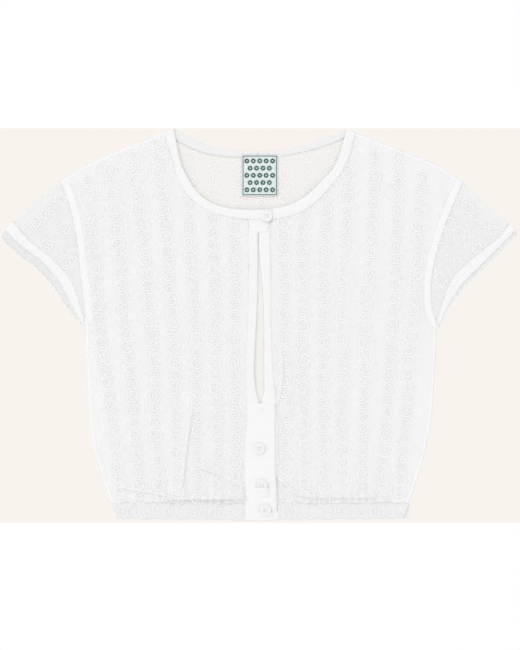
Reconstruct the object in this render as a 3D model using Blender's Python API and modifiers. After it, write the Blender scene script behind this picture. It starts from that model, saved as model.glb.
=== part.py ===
"""A short-sleeved dirndl blouse of sheer cotton, laid flat on its back.

X runs across the garment, Y from the hem to the neck and Z up from the surface it lies on.
Right and left are the wearer's, so the right side is at -X. Lengths are in millimetres and
become metres when a mesh is made.
"""

import math

import bpy
import bmesh
import numpy as np

MM = 0.001

# How far the outline below moves across, so that the origin lies under the middle of the garment
MIDDLE_SHIFT = 0.88

# Cloth
WALL = 1.2
SEAM_GAP = 0.3
LOFT = 1.0
LOFT_REACH = 20.0
FOLD_STEPS = 5

# Overlaps on the front
OVERLAP_RISE = WALL + SEAM_GAP

# Hem casing
CASING_TOP = -205.3
CASING_LIFT = 0.5
CASING_LIFT_RUN = 8.0
CASING_WALL = 1.7
CASING_BACK_WALL = 1.3
GATHER_HEIGHT = 0.55
GATHER_HEIGHT_BACK = 0.25
GATHER_STEPS = 4
GATHERS_EACH_FRONT = 22
GATHERS_BACK = 44

# Points along edges that two pieces share
OPENING_POINTS = 13
NECK_POINTS = 12
NECK_BACK_POINTS = 17
PANEL_COLUMNS = 15

# Lace edging
SCALLOPS = 18
SCALLOP_STEPS = 4
SCALLOP_DEPTH = 1.6
LACE_WIDTH = {"right": 8.5, "left": 4.6}

# Buttons
BUTTON_RADIUS = 6.75
BUTTON_HEIGHT = 2.3
BUTTON_HOLE_RADIUS = 0.8
BUTTON_HOLE_SPREAD = 1.5
BUTTON_STEPS = 20

# Label
LABEL_SIZE = (41.5, 44.0)
LABEL_CENTRE = (-0.9, 169.6)
LABEL_WALL = 1.0
LABEL_BOW = 0.8

# Outline curves, each row a point (across, up) from the garment's middle
NECK_POINT_IN = {"right": (-99.7, 225.5), "left": (99.5, 225.5)}
NECK_POINT_OUT = {"right": (-111.6, 221.0), "left": (109.8, 220.6)}
CAP_CORNER = {"right": (-230.6, 165.6), "left": (232.9, 164.4)}
UNDERARM = {"right": (-201.6, -2.3), "left": (203.0, -3.6)}
CASING_CORNER = {"right": (-172.5, CASING_TOP), "left": (170.8, CASING_TOP)}
HEM_CORNER = {"right": (-164.5, -223.6), "left": (163.8, -223.2)}

SHOULDER = {
    "right": [NECK_POINT_OUT["right"], (-142.4, 208.4), (-184.6, 191.1), CAP_CORNER["right"]],
    "left": [NECK_POINT_OUT["left"], (160.4, 200.7), (202.6, 183.4), CAP_CORNER["left"]],
}
ARMHOLE = {
    "right": [CAP_CORNER["right"], (-221.4, 143.2), (-212.8, 108.7), (-206.2, 54.6), (-200.6, 8.0)],
    "left": [CAP_CORNER["left"], (220.2, 135.1), (206.4, 97.2), (197.2, 58.0), (196.2, 26.0), (200.9, 6.0)],
}
SIDE = {
    "right": [UNDERARM["right"], (-199.9, -60.0), (-194.1, -132.8), (-181.1, -178.8), CASING_CORNER["right"]],
    "left": [UNDERARM["left"], (200.7, -48.9), (196.9, -106.4), (186.9, -155.8), CASING_CORNER["left"]],
}
SLEEVE_FOLD = {
    "right": [CAP_CORNER["right"], (-261.3, 141.2), (-284.6, 119.6)],
    "left": [CAP_CORNER["left"], (257.0, 140.9), (285.8, 116.7)],
}
CUFF_INNER = {
    "right": [(-284.6, 119.6), (-267.9, 99.1), (-244.0, 79.9), (-228.6, 64.6), (-215.3, 46.0), (-203.4, 8.0)],
    "left": [(285.8, 116.7), (274.5, 101.1), (257.3, 87.6), (237.1, 70.4), (218.8, 50.0), (203.6, 6.0)],
}
CUFF_OUTER = {
    "right": [(-294.1, 108.1), (-271.7, 87.6), (-251.6, 72.2), (-232.5, 50.3), (-220.0, 28.2), (-203.9, -1.6)],
    "left": [(294.4, 108.7), (271.6, 85.7), (250.5, 64.6), (231.4, 44.5), (216.0, 21.5), (205.2, -2.8)],
}
NECK_BACK_UPPER = [
    NECK_POINT_IN["right"],
    (-78.8, 214.5),
    (-54.6, 204.6),
    (-30.5, 200.7),
    (-1.3, 199.5),
    (33.9, 203.0),
    (66.5, 212.6),
    NECK_POINT_IN["left"],
]
NECK_BACK_LOWER = [
    NECK_POINT_OUT["right"],
    (-89.9, 207.8),
    (-62.7, 197.2),
    (-30.0, 192.9),
    (17.8, 193.6),
    (50.0, 198.8),
    (82.2, 208.4),
    NECK_POINT_OUT["left"],
]
NECK_FRONT_OUTER = {
    "right": [
        NECK_POINT_OUT["right"],
        (-100.9, 190.0),
        (-94.9, 165.8),
        (-80.3, 144.9),
        (-62.7, 131.9),
        (-38.5, 123.9),
        (-14.6, 120.6),
    ],
    "left": [
        NECK_POINT_OUT["left"],
        (101.8, 192.0),
        (92.7, 173.4),
        (77.6, 154.7),
        (61.5, 138.6),
        (42.0, 127.1),
        (10.9, 120.2),
    ],
}
NECK_FRONT_INNER = {
    "right": [
        NECK_POINT_IN["right"],
        (-92.6, 188.4),
        (-85.1, 170.8),
        (-74.2, 152.9),
        (-57.7, 140.1),
        (-36.8, 132.8),
        (-14.2, 130.6),
    ],
    "left": [
        NECK_POINT_IN["left"],
        (87.4, 185.1),
        (71.3, 165.8),
        (53.5, 148.1),
        (33.9, 136.8),
        (11.4, 131.4),
    ],
}
TAB_RIGHT_END = 13.4
TAB_LEFT_END = 2.0

# Button stands: how far up each section is, its two edges, and its height over the cloth below
PLACKET_RIGHT_ROWS = [
    {"up": 119.6, "inner": -14.6, "free": 9.8, "rise": 1.5},
    {"up": 107.0, "inner": -14.2, "free": 9.2, "rise": 1.5},
    {"up": 105.8, "inner": -14.1, "free": -3.1, "rise": 1.5},
    {"up": 88.0, "inner": -14.0, "free": -3.2, "rise": 0.9},
    {"up": 60.0, "inner": -13.9, "free": -3.2, "rise": 0.5},
    {"up": 5.2, "inner": -14.4, "free": -3.6, "rise": 0.5},
    {"up": -29.3, "inner": -16.4, "free": -5.2, "rise": 0.9},
    {"up": -58.1, "inner": -16.8, "free": -6.9, "rise": 1.0},
    {"up": -75.3, "inner": -16.2, "free": -5.2, "rise": 1.2},
    {"up": -90.3, "inner": -15.6, "free": -2.4, "rise": 1.5},
    {"up": -91.6, "inner": -15.6, "free": 17.6, "rise": 1.5},
    {"up": -120.0, "inner": -17.0, "free": 17.8, "rise": 1.5},
    {"up": -150.0, "inner": -18.4, "free": 17.8, "rise": 1.7},
    {"up": -168.0, "inner": -19.0, "free": 18.2, "rise": 2.8},
    {"up": -176.0, "inner": -19.2, "free": 19.0, "rise": 4.2},
    {"up": -184.0, "inner": -19.3, "free": 19.8, "rise": 3.2},
    {"up": -193.0, "inner": -19.4, "free": 20.1, "rise": 1.7},
    {"up": -201.0, "inner": -19.5, "free": 19.8, "rise": 3.0},
    {"up": -206.5, "inner": -19.5, "free": 19.5, "rise": 1.8},
    {"up": -225.4, "inner": -19.5, "free": 19.0, "rise": 1.5},
]
PLACKET_LEFT_ROWS = [
    {"up": 119.6, "inner": 10.9, "free": -2.4},
    {"up": 104.0, "inner": 11.0, "free": -2.2},
    {"up": 74.2, "inner": 12.1, "free": -0.6},
    {"up": 5.2, "inner": 13.0, "free": 3.4},
    {"up": -40.8, "inner": 14.4, "free": 4.6},
    {"up": -70.7, "inner": 17.2, "free": 7.5},
    {"up": -79.9, "inner": 18.2, "free": 5.2},
    {"up": -86.8, "inner": 18.9, "free": 2.3},
    {"up": -100.0, "inner": 20.2, "free": -1.0},
    {"up": -130.0, "inner": 21.4, "free": -2.0},
    {"up": -165.0, "inner": 21.8, "free": -3.0},
    {"up": -191.5, "inner": 22.2, "free": -3.0},
    {"up": -205.3, "inner": 21.8, "free": -3.0},
    {"up": -224.6, "inner": 21.8, "free": -3.0},
]

# Folds that stand on the front: both ends of each ridge, how wide it is and how high
FOLD_ROWS = [
    {"from": (27.0, -179.0), "to": (54.0, -195.5), "width": 9.0, "height": 2.6},
    {"from": (54.0, -195.5), "to": (136.0, -197.5), "width": 9.0, "height": 2.4},
    {"from": (-108.0, -197.5), "to": (-26.0, -196.0), "width": 9.0, "height": 2.4},
    {"from": (-77.0, -162.0), "to": (-42.0, -176.5), "width": 10.0, "height": 1.8},
    {"from": (-79.0, -98.0), "to": (-89.0, -186.0), "width": 11.0, "height": 1.5},
    {"from": (31.0, -24.0), "to": (30.0, -92.0), "width": 9.0, "height": 1.7},
    {"from": (-150.0, -120.0), "to": (-152.0, -190.0), "width": 14.0, "height": 1.2},
    {"from": (120.0, -130.0), "to": (106.0, -188.0), "width": 14.0, "height": 1.3},
    {"from": (-45.0, -60.0), "to": (-52.0, -140.0), "width": 16.0, "height": 1.0},
    {"from": (75.0, -90.0), "to": (72.0, -175.0), "width": 16.0, "height": 1.0},
    {"from": (-190.0, 20.0), "to": (-120.0, 60.0), "width": 16.0, "height": 1.3},
    {"from": (190.0, 20.0), "to": (130.0, 70.0), "width": 16.0, "height": 1.3},
    {"from": (-214.0, 110.0), "to": (-160.0, 128.0), "width": 16.0, "height": 1.0},
    {"from": (210.0, 105.0), "to": (160.0, 126.0), "width": 16.0, "height": 1.0},
]

# Buttons: centre, height of the middle over the surface and tilt about the X axis in degrees
BUTTON_ROWS = [
    {"name": "button_neck", "at": (6.3, 125.6), "base": 5.7, "tilt": 0.0},
    {"name": "button_chest", "at": (-1.5, -142.7), "base": 5.9, "tilt": 1.5},
    {"name": "button_waist", "at": (1.7, -184.6), "base": 7.35, "tilt": 8.5},
    {"name": "button_hem", "at": (5.6, -213.4), "base": 5.9, "tilt": 0.0},
]

COTTON = {"colour": (0.92, 0.92, 0.93), "roughness": 0.85}
SHEER = {"colour": (0.90, 0.90, 0.90), "roughness": 0.85}
SHELL = {"colour": (0.87, 0.87, 0.86), "roughness": 0.35}
TAPE = {"colour": (0.78, 0.80, 0.80), "roughness": 0.7}


def clear_scene():
    """Removes whatever the opened file holds."""
    for obj in list(bpy.data.objects):
        bpy.data.objects.remove(obj, do_unlink=True)


def make_collection(name):
    """Returns a new collection linked to the scene."""
    collection = bpy.data.collections.new(name)
    bpy.context.scene.collection.children.link(collection)
    return collection


def make_material(name, finish):
    """Returns a Principled material of the given finish."""
    material = bpy.data.materials.new(name)
    material.use_nodes = True
    shader = material.node_tree.nodes["Principled BSDF"]
    shader.inputs["Base Color"].default_value = (*finish["colour"], 1.0)
    shader.inputs["Roughness"].default_value = finish["roughness"]
    shader.inputs["Metallic"].default_value = 0.0
    return material


def spaced(line, count):
    """Returns count points evenly far apart along a line of points."""
    steps = np.linalg.norm(np.diff(line, axis=0), axis=1)
    run = np.concatenate([[0.0], np.cumsum(steps)])
    at = np.linspace(0.0, run[-1], count)
    return np.column_stack([np.interp(at, run, line[:, axis]) for axis in range(line.shape[1])])


def curve(points, count):
    """Returns count points along a smooth curve through the given ones."""
    known = np.array(points, float)
    ends = np.vstack([2 * known[0] - known[1], known, 2 * known[-1] - known[-2]])
    t = np.linspace(0.0, 1.0, 13)[:-1, None]
    spans = []
    for a, b, c, d in zip(ends, ends[1:], ends[2:], ends[3:]):
        bend = (2 * a - 5 * b + 4 * c - d) * t**2
        turn = (3 * b - a - 3 * c + d) * t**3
        spans.append(0.5 * (2 * b + (c - a) * t + bend + turn))
    return spaced(np.vstack(spans + [known[-1:]]), count)


def between(line, count):
    """Returns count points on the straight stretches of a line, evenly by its own points."""
    at = np.linspace(0.0, len(line) - 1.0, count)
    own = np.arange(len(line))
    return np.column_stack([np.interp(at, own, line[:, axis]) for axis in range(line.shape[1])])


def joined(*lines):
    """Returns one line of points, with the ends that two lines share kept once."""
    parts = [lines[0]] + [line[1:] for line in lines[1:]]
    return np.vstack(parts)


def shifted(line, distance):
    """Returns a line of points moved sideways, to its left where the distance is positive."""
    along = np.gradient(line, axis=0)
    along /= np.linalg.norm(along, axis=1)[:, None]
    distance = np.broadcast_to(distance, len(line))[:, None]
    return line + distance * np.column_stack([-along[:, 1], along[:, 0]])


def patch(near, far, start, end):
    """Returns a grid of points filling four edge lines, which is a Coons patch.

    near and far run in the grid's second direction, start and end in its first.
    """
    u = np.linspace(0.0, 1.0, len(start))[:, None, None]
    v = np.linspace(0.0, 1.0, len(near))[None, :, None]
    across = (1 - u) * near[None, :, :] + u * far[None, :, :]
    down = (1 - v) * start[:, None, :] + v * end[:, None, :]
    corners = (1 - u) * ((1 - v) * near[0] + v * near[-1]) + u * ((1 - v) * far[0] + v * far[-1])
    return across + down - corners


def distance_to_line(points, line):
    """Returns how far each point is from the nearest stretch of a line of points."""
    flat = points.reshape(-1, 1, 2)
    start = line[None, :-1]
    span = line[None, 1:] - start
    length = np.maximum((span**2).sum(2), 1e-9)
    share = np.clip(((flat - start) * span).sum(2) / length, 0.0, 1.0)
    nearest = start + share[..., None] * span
    gap = np.linalg.norm(flat - nearest, axis=2).min(axis=1)
    return gap.reshape(points.shape[:-1])


def garment_outline():
    """Returns the closed outline that the garment shows from above."""
    sides = []
    for side in ("right", "left"):
        line = joined(
            curve([NECK_POINT_IN[side], *SHOULDER[side]], 14),
            curve(SLEEVE_FOLD[side], 8),
            curve([SLEEVE_FOLD[side][-1], CUFF_OUTER[side][0]], 3),
            curve(CUFF_OUTER[side], 12),
            curve([CUFF_OUTER[side][-1], *SIDE[side][1:], HEM_CORNER[side]], 20),
        )
        sides.append(line)
    right, left = sides
    return np.vstack([right, left[::-1], right[:1]])


OUTLINE = garment_outline()


def lift(points):
    """Returns how high the front's inner face lies over each point.

    It starts just above the back at the outline, rises by the loft further in, and each fold
    adds a ridge with a bell-shaped section that fades out past its ends.
    """
    reach = distance_to_line(points, OUTLINE)
    height = WALL + SEAM_GAP + LOFT * (1.0 - np.exp(-((reach / LOFT_REACH) ** 2)))
    for fold in FOLD_ROWS:
        ridge = np.array([fold["from"], fold["to"]], float)
        away = distance_to_line(points, ridge) / fold["width"]
        height = height + fold["height"] * np.exp(-(away**2)) * np.minimum(reach / LOFT_REACH, 1.0)
    over_casing = np.clip((CASING_TOP + CASING_LIFT_RUN - points[..., 1]) / CASING_LIFT_RUN, 0.0, 1.0)
    return height + CASING_LIFT * over_casing


def plain_lift(points):
    """Returns the front's height over the middle line at each point, where no fold stands."""
    middle = np.stack([np.zeros(points.shape[:-1]), points[..., 1]], axis=-1)
    reach = distance_to_line(middle, OUTLINE)
    height = WALL + SEAM_GAP + LOFT * (1.0 - np.exp(-((reach / LOFT_REACH) ** 2)))
    over_casing = np.clip((CASING_TOP + CASING_LIFT_RUN - middle[..., 1]) / CASING_LIFT_RUN, 0.0, 1.0)
    return height + CASING_LIFT * over_casing


def raised(plan, height):
    """Returns the points of a plan at the given height."""
    height = np.broadcast_to(height, plan.shape[:-1])
    return np.concatenate([plan, height[..., None]], axis=-1)


def make_wall(name, outer, inner, finish, collection):
    """Makes a closed wall between two grids of points and returns its object.

    Each skin is a grid of quads, and a rim of quads joins them along their four edges.
    """
    rows, columns = outer.shape[:2]
    points = np.concatenate([outer.reshape(-1, 3), inner.reshape(-1, 3)])
    points = (points + (MIDDLE_SHIFT, 0.0, 0.0)) * MM
    index = np.arange(rows * columns).reshape(rows, columns)
    quads = np.stack([index[:-1, :-1], index[1:, :-1], index[1:, 1:], index[:-1, 1:]], axis=-1)
    quads = quads.reshape(-1, 4)
    edge = np.concatenate([index[:-1, 0], index[-1, :-1], index[:0:-1, -1], index[0, :0:-1]])
    following = np.roll(edge, -1)
    under = rows * columns
    rim = np.stack([edge, edge + under, following + under, following], axis=-1)
    faces = np.concatenate([quads, quads[:, ::-1] + under, rim])
    mesh = bpy.data.meshes.new(name)
    mesh.from_pydata(points.tolist(), [], faces.tolist())
    form = bmesh.new()
    form.from_mesh(mesh)
    bmesh.ops.recalc_face_normals(form, faces=form.faces)
    form.to_mesh(mesh)
    form.free()
    mesh.shade_smooth()
    mesh.set_sharp_from_angle(angle=math.radians(50))
    mesh.materials.append(make_material(name + "_finish", finish))
    obj = bpy.data.objects.new(name, mesh)
    collection.objects.link(obj)
    return obj


def front_layer(name, plan, finish, collection, rise=0.0):
    """Makes a wall of the front that follows the folds."""
    height = lift(plan) + rise
    return make_wall(name, raised(plan, height + WALL), raised(plan, height), finish, collection)


def folded_layer(name, plan, finish, collection):
    """Makes a wall that lies under and over itself, folded along the plan's first column.

    The lower layer rests on the surface and the upper one follows the front. Between them the
    wall turns through half a circle.
    """
    inward = plan[:, 1] - plan[:, 0]
    inward /= np.linalg.norm(inward, axis=1)[:, None]
    outer_radius = WALL + SEAM_GAP / 2
    inner_radius = SEAM_GAP / 2
    angle = np.linspace(-math.pi / 2, math.pi / 2, FOLD_STEPS)
    middle = plan[:, 0] + inward * outer_radius

    def turn(radius):
        across = middle[:, None] - inward[:, None] * (radius * np.cos(angle))[None, :, None]
        return raised(across, outer_radius + radius * np.sin(angle)[None, :])

    flat = plan[:, 1:]
    under = flat[:, ::-1]
    height = lift(flat)
    outer = np.concatenate([raised(under, 0.0), turn(outer_radius), raised(flat, height + WALL)], axis=1)
    inner = np.concatenate([raised(under, WALL), turn(inner_radius), raised(flat, height)], axis=1)
    return make_wall(name, outer, inner, finish, collection)


def stand_edges(rows, count):
    """Returns a button stand's two edges and heights, with more sections between the rows."""
    table = np.array([[row["up"], row["inner"], row["free"], row.get("rise", 0.0)] for row in rows])
    run = np.arange(len(table))
    at = np.linspace(0.0, run[-1], count)
    up, inner, free, rise = [np.interp(at, run, table[:, column]) for column in range(4)]
    return np.column_stack([inner, up]), np.column_stack([free, up]), rise


def make_stand(name, rows, collection):
    """Makes a button stand as a wall through its sections."""
    sections = 2 * len(rows) - 1
    inner_edge, free_edge, rise = stand_edges(rows, sections)
    share = np.linspace(0.0, 1.0, 4)[:, None, None]
    plan = (1 - share) * inner_edge[None] + share * free_edge[None]
    height = plain_lift(plan) + rise[None, :]
    return make_wall(name, raised(plan, height + WALL), raised(plan, height), COTTON, collection)


def make_fronts(collection):
    """Makes both fronts, from the shoulder and the armhole to the casing and the stand."""
    rows_by_side = {"right": PLACKET_RIGHT_ROWS, "left": PLACKET_LEFT_ROWS}
    for side in ("right", "left"):
        turn = 1 if side == "right" else -1
        edge = stand_edges(rows_by_side[side], 2 * len(rows_by_side[side]) - 1)[0]
        edge = edge[(edge[:, 1] < 118.0) & (edge[:, 1] > CASING_TOP + SEAM_GAP)]
        stop = np.array([[np.interp(-CASING_TOP, -edge[:, 1], edge[:, 0]), CASING_TOP + SEAM_GAP]])
        neck = shifted(curve(NECK_FRONT_OUTER[side], NECK_POINTS), -turn * SEAM_GAP)[:-1]
        corner = np.array([[edge[0, 0], 119.4]])
        stand = np.vstack([corner, edge, stop])
        stand[:, 0] -= turn * SEAM_GAP
        stand = spaced(stand, 19)
        near = np.vstack([neck, stand])
        far = joined(
            curve(ARMHOLE[side], OPENING_POINTS), curve([ARMHOLE[side][-1], *SIDE[side]], len(near) - 12)
        )
        far = shifted(far, -turn * -SEAM_GAP)
        far[-1, 1] = CASING_TOP + SEAM_GAP
        start = curve(SHOULDER[side], PANEL_COLUMNS)
        start[0] = near[0]
        start[-1] = far[0]
        end = np.linspace(near[-1], far[-1], PANEL_COLUMNS)
        front_layer("front_" + side, patch(near, far, start, end), SHEER, collection)


def make_back(collection):
    """Makes the back, whose underside is flat on the surface."""
    sides = {}
    for side, turn in (("right", 1), ("left", -1)):
        line = joined(curve(ARMHOLE[side], OPENING_POINTS), curve([ARMHOLE[side][-1], *SIDE[side]], 10))
        line = shifted(line, turn * SEAM_GAP)
        line[-1, 1] = CASING_TOP + SEAM_GAP
        sides[side] = line
    neck = shifted(curve(NECK_BACK_LOWER, NECK_BACK_POINTS), -SEAM_GAP)
    top = joined(
        curve(SHOULDER["right"], 7)[::-1], neck, curve(SHOULDER["left"], 7)
    )
    top[0] = sides["right"][0]
    top[-1] = sides["left"][0]
    bottom = np.linspace(sides["right"][-1], sides["left"][-1], len(top))
    plan = patch(sides["right"], sides["left"], top, bottom)
    make_wall("back", raised(plan, WALL), raised(plan, 0.0), SHEER, collection)


def make_sleeves(collection):
    """Makes both cap sleeves, each one piece folded along its top edge."""
    for side, turn in (("right", 1), ("left", -1)):
        armhole = shifted(curve(ARMHOLE[side], OPENING_POINTS), -turn * SEAM_GAP / 2)
        cuff = shifted(curve(CUFF_INNER[side], OPENING_POINTS), turn * SEAM_GAP / 2)
        top = curve(SLEEVE_FOLD[side], 7)
        top[0] = armhole[0]
        top[-1] = cuff[0]
        bottom = np.linspace(armhole[-1], cuff[-1], 7)
        folded_layer("sleeve_" + side, patch(armhole, cuff, top, bottom), SHEER, collection)


def make_cuffs(collection):
    """Makes the binding round each sleeve opening."""
    for side, turn in (("right", 1), ("left", -1)):
        inner = shifted(curve(CUFF_INNER[side], OPENING_POINTS), -turn * SEAM_GAP / 2)
        outer = shifted(curve(CUFF_OUTER[side], OPENING_POINTS), turn * SEAM_GAP / 2)
        share = np.linspace(0.0, 1.0, 3)[:, None, None]
        plan = (1 - share) * inner[None] + share * outer[None]
        folded_layer("cuff_" + side, plan, COTTON, collection)


def make_lace(collection):
    """Makes the narrow edging beyond each binding, with a scalloped outer edge.

    Each scallop is a half wave, and the edging narrows towards the underarm.
    """
    count = SCALLOPS * SCALLOP_STEPS + 1
    wave = np.abs(np.sin(np.linspace(0.0, SCALLOPS * math.pi, count)))
    share = np.linspace(0.0, 1.0, count)
    for side, turn in (("right", 1), ("left", -1)):
        width = LACE_WIDTH[side] * (1.0 - 0.75 * share**4) * np.minimum(0.8 + 4.0 * share, 1.0)
        width = width - SCALLOP_DEPTH * (1.0 - wave)
        edge = between(curve(CUFF_OUTER[side], OPENING_POINTS), count)
        inner = shifted(edge, -turn * SEAM_GAP / 2)
        outer = shifted(edge, -turn * width)
        folded_layer("lace_" + side, np.stack([inner, outer]), COTTON, collection)


def make_neck_binding(collection):
    """Makes the strip round the neck in three stretches, parted where it turns at a shoulder."""
    upper = curve(NECK_BACK_UPPER, NECK_BACK_POINTS)
    lower = curve(NECK_BACK_LOWER, NECK_BACK_POINTS)
    plan = np.stack([upper, (upper + lower) / 2, lower])
    make_wall("neck_binding_back", raised(plan, WALL), raised(plan, 0.0), COTTON, collection)
    ends = {"right": TAB_RIGHT_END, "left": TAB_LEFT_END}
    for side in ("right", "left"):
        inner = curve(NECK_FRONT_INNER[side], NECK_POINTS)
        outer = curve(NECK_FRONT_OUTER[side], NECK_POINTS)
        tab_inner = np.linspace(inner[-1], (ends[side], inner[-1][1] + 0.4), 4)
        tab_outer = np.linspace(outer[-1], (ends[side], outer[-1][1]), 4)
        inner = joined(inner, tab_inner)
        outer = joined(outer, tab_outer)
        plan = np.stack([inner, (inner + outer) / 2, outer])
        rise = 0.0
        if side == "right":
            share = np.clip((inner[:, 0] + 40.0) / 30.0, 0.0, 1.0)
            rise = (OVERLAP_RISE * share * share * (3.0 - 2.0 * share))[None, :]
        height = lift(plan) + rise
        make_wall(
            "neck_binding_" + side,
            raised(plan, height + WALL),
            raised(plan, height),
            COTTON,
            collection,
        )


def make_casings(collection):
    """Makes the elastic casing at the hem, gathered into small upright waves.

    The wave is a cosine across the garment that is strongest in the middle of the casing's
    height, so that the seam above it stays straight.
    """
    free_right = PLACKET_RIGHT_ROWS[-1]["inner"] - SEAM_GAP
    free_left = PLACKET_LEFT_ROWS[-1]["inner"] + SEAM_GAP
    runs = (
        ("casing_right", "right", free_right, GATHERS_EACH_FRONT),
        ("casing_left", "left", free_left, GATHERS_EACH_FRONT),
    )
    for name, side, middle, gathers in runs:
        count = gathers * GATHER_STEPS + 1
        wave = np.cos(np.linspace(0.0, gathers * 2 * math.pi, count))
        corner = HEM_CORNER[side]
        top = np.linspace(CASING_CORNER[side], (middle, CASING_TOP), count)
        bottom = np.linspace(corner, (middle, -224.8), count)
        bottom[:, 1] += 0.35 * wave
        plan = np.stack([top, (top + bottom) / 2, bottom])
        crest = np.array([0.4, 1.0, 0.6])[:, None] * wave[None, :]
        height = lift(plan)
        make_wall(
            name,
            raised(plan, height + CASING_WALL + GATHER_HEIGHT * crest),
            raised(plan, height),
            COTTON,
            collection,
        )
    count = GATHERS_BACK * GATHER_STEPS + 1
    wave = np.cos(np.linspace(0.0, GATHERS_BACK * 2 * math.pi, count))
    top = np.linspace(CASING_CORNER["right"], CASING_CORNER["left"], count)
    bottom = np.linspace(HEM_CORNER["right"], HEM_CORNER["left"], count)
    plan = np.stack([top, bottom])
    make_wall(
        "casing_back",
        raised(plan, CASING_BACK_WALL + GATHER_HEIGHT_BACK * wave[None, :]),
        raised(plan, 0.0),
        COTTON,
        collection,
    )


def make_label(collection):
    """Makes the woven label below the back of the neck, bowed up a little in its middle."""
    x = np.linspace(-LABEL_SIZE[0] / 2, LABEL_SIZE[0] / 2, 7)
    y = np.linspace(-LABEL_SIZE[1] / 2, LABEL_SIZE[1] / 2, 7)
    grid = np.stack(np.meshgrid(x, y, indexing="ij"), axis=-1) + np.array(LABEL_CENTRE)
    bow = LABEL_BOW * np.cos(np.linspace(-math.pi / 2, math.pi / 2, 7))[:, None]
    height = WALL + SEAM_GAP + bow
    make_wall("label", raised(grid, height + LABEL_WALL), raised(grid, height), TAPE, collection)


def make_buttons(collection, cutters):
    """Makes the four buttons, each turned from a profile and pierced by four holes."""
    radius = BUTTON_RADIUS
    profile = [
        (0.0, 1.5),
        (radius - 2.6, 1.5),
        (radius - 1.5, BUTTON_HEIGHT),
        (radius - 0.6, BUTTON_HEIGHT),
        (radius, 1.5),
        (radius - 0.8, 0.0),
        (0.0, 0.0),
    ]
    for row in BUTTON_ROWS:
        mesh = bpy.data.meshes.new(row["name"])
        points = [(x * MM, 0.0, z * MM) for x, z in profile]
        mesh.from_pydata(points, [(i, i + 1) for i in range(len(points) - 1)], [])
        mesh.materials.append(make_material(row["name"] + "_finish", SHELL))
        button = bpy.data.objects.new(row["name"], mesh)
        collection.objects.link(button)
        across, up = row["at"]
        button.location = ((across + MIDDLE_SHIFT) * MM, up * MM, row["base"] * MM)
        button.rotation_euler = (math.radians(row["tilt"]), 0.0, 0.0)
        screw = button.modifiers.new("turned", "SCREW")
        screw.steps = BUTTON_STEPS
        screw.render_steps = BUTTON_STEPS
        screw.use_merge_vertices = True
        screw.merge_threshold = 0.00001
        screw.use_smooth_shade = True
        pierce(button, row["name"], cutters)


def pierce(button, name, cutters):
    """Cuts four thread holes through a button with one cutter of four pins."""
    form = bmesh.new()
    for quarter in range(4):
        turn = math.radians(45 + 90 * quarter)
        made = bmesh.ops.create_cone(
            form,
            cap_ends=True,
            segments=5,
            radius1=BUTTON_HOLE_RADIUS * MM,
            radius2=BUTTON_HOLE_RADIUS * MM,
            depth=4 * BUTTON_HEIGHT * MM,
        )
        move = (
            BUTTON_HOLE_SPREAD * math.cos(turn) * MM,
            BUTTON_HOLE_SPREAD * math.sin(turn) * MM,
            0.0,
        )
        bmesh.ops.translate(form, verts=made["verts"], vec=move)
    mesh = bpy.data.meshes.new(name + "_pins")
    form.to_mesh(mesh)
    form.free()
    pins = bpy.data.objects.new(name + "_pins", mesh)
    cutters.objects.link(pins)
    pins.location = button.location
    pins.rotation_euler = button.rotation_euler
    pins.hide_render = True
    pins.display_type = "WIRE"
    cut = button.modifiers.new("holes", "BOOLEAN")
    cut.operation = "DIFFERENCE"
    cut.object = pins


def main():
    clear_scene()
    blouse = make_collection("dirndl_blouse")
    cutters = make_collection("cutters")
    make_back(blouse)
    make_fronts(blouse)
    make_sleeves(blouse)
    make_cuffs(blouse)
    make_lace(blouse)
    make_neck_binding(blouse)
    make_stand("placket_right", PLACKET_RIGHT_ROWS, blouse)
    make_stand("placket_left", PLACKET_LEFT_ROWS, blouse)
    make_casings(blouse)
    make_label(blouse)
    make_buttons(blouse, cutters)


main()
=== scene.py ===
# %% [markdown]
# # A dirndl blouse laid flat
# The real thing is a short blouse of sheer cotton voile, embroidered all over with small rings.
# It lies on its back on a pale ground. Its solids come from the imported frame, and this lesson
# dresses them: each solid is replaced by cloth of the same shape with finer folds, and thread,
# lace and buttons are laid on it.

# %% Load the frame
import math

import bpy
import numpy as np
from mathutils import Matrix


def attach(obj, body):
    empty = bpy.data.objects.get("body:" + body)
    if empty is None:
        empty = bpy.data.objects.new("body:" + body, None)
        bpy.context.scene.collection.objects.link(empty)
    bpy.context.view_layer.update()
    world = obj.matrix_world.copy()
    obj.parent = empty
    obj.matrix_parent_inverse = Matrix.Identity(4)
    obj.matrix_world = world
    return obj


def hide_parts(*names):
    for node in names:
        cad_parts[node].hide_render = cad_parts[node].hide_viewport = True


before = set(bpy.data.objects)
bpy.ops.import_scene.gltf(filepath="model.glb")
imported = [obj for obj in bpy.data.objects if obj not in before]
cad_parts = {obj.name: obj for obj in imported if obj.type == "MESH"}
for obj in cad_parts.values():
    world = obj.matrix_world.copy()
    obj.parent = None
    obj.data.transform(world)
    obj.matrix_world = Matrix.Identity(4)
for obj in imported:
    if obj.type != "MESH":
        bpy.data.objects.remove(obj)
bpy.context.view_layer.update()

# %% [markdown]
# ## Sizes
# All lengths here are millimetres, as on a pattern sheet. The photograph shows 1.15 mm of the
# blouse in each of its pixels, so one function turns a pixel into a place on the blouse.

# %% Sizes and places
MM = 0.001
PHOTO_WIDTH, PHOTO_HEIGHT = 520, 650
MM_PER_PIXEL = 1.15
MIDDLE_SHIFT = 0.88
WALL = 1.2
SEAM_GAP = 0.3
LOFT = 1.0
LOFT_REACH = 20.0
CLOTH = 0.5
CASING_TOP = -205.3
CASING_RUN = 8.0
UNDERLAP = 1.6
SIDES = {"right": 1, "left": -1}


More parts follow.
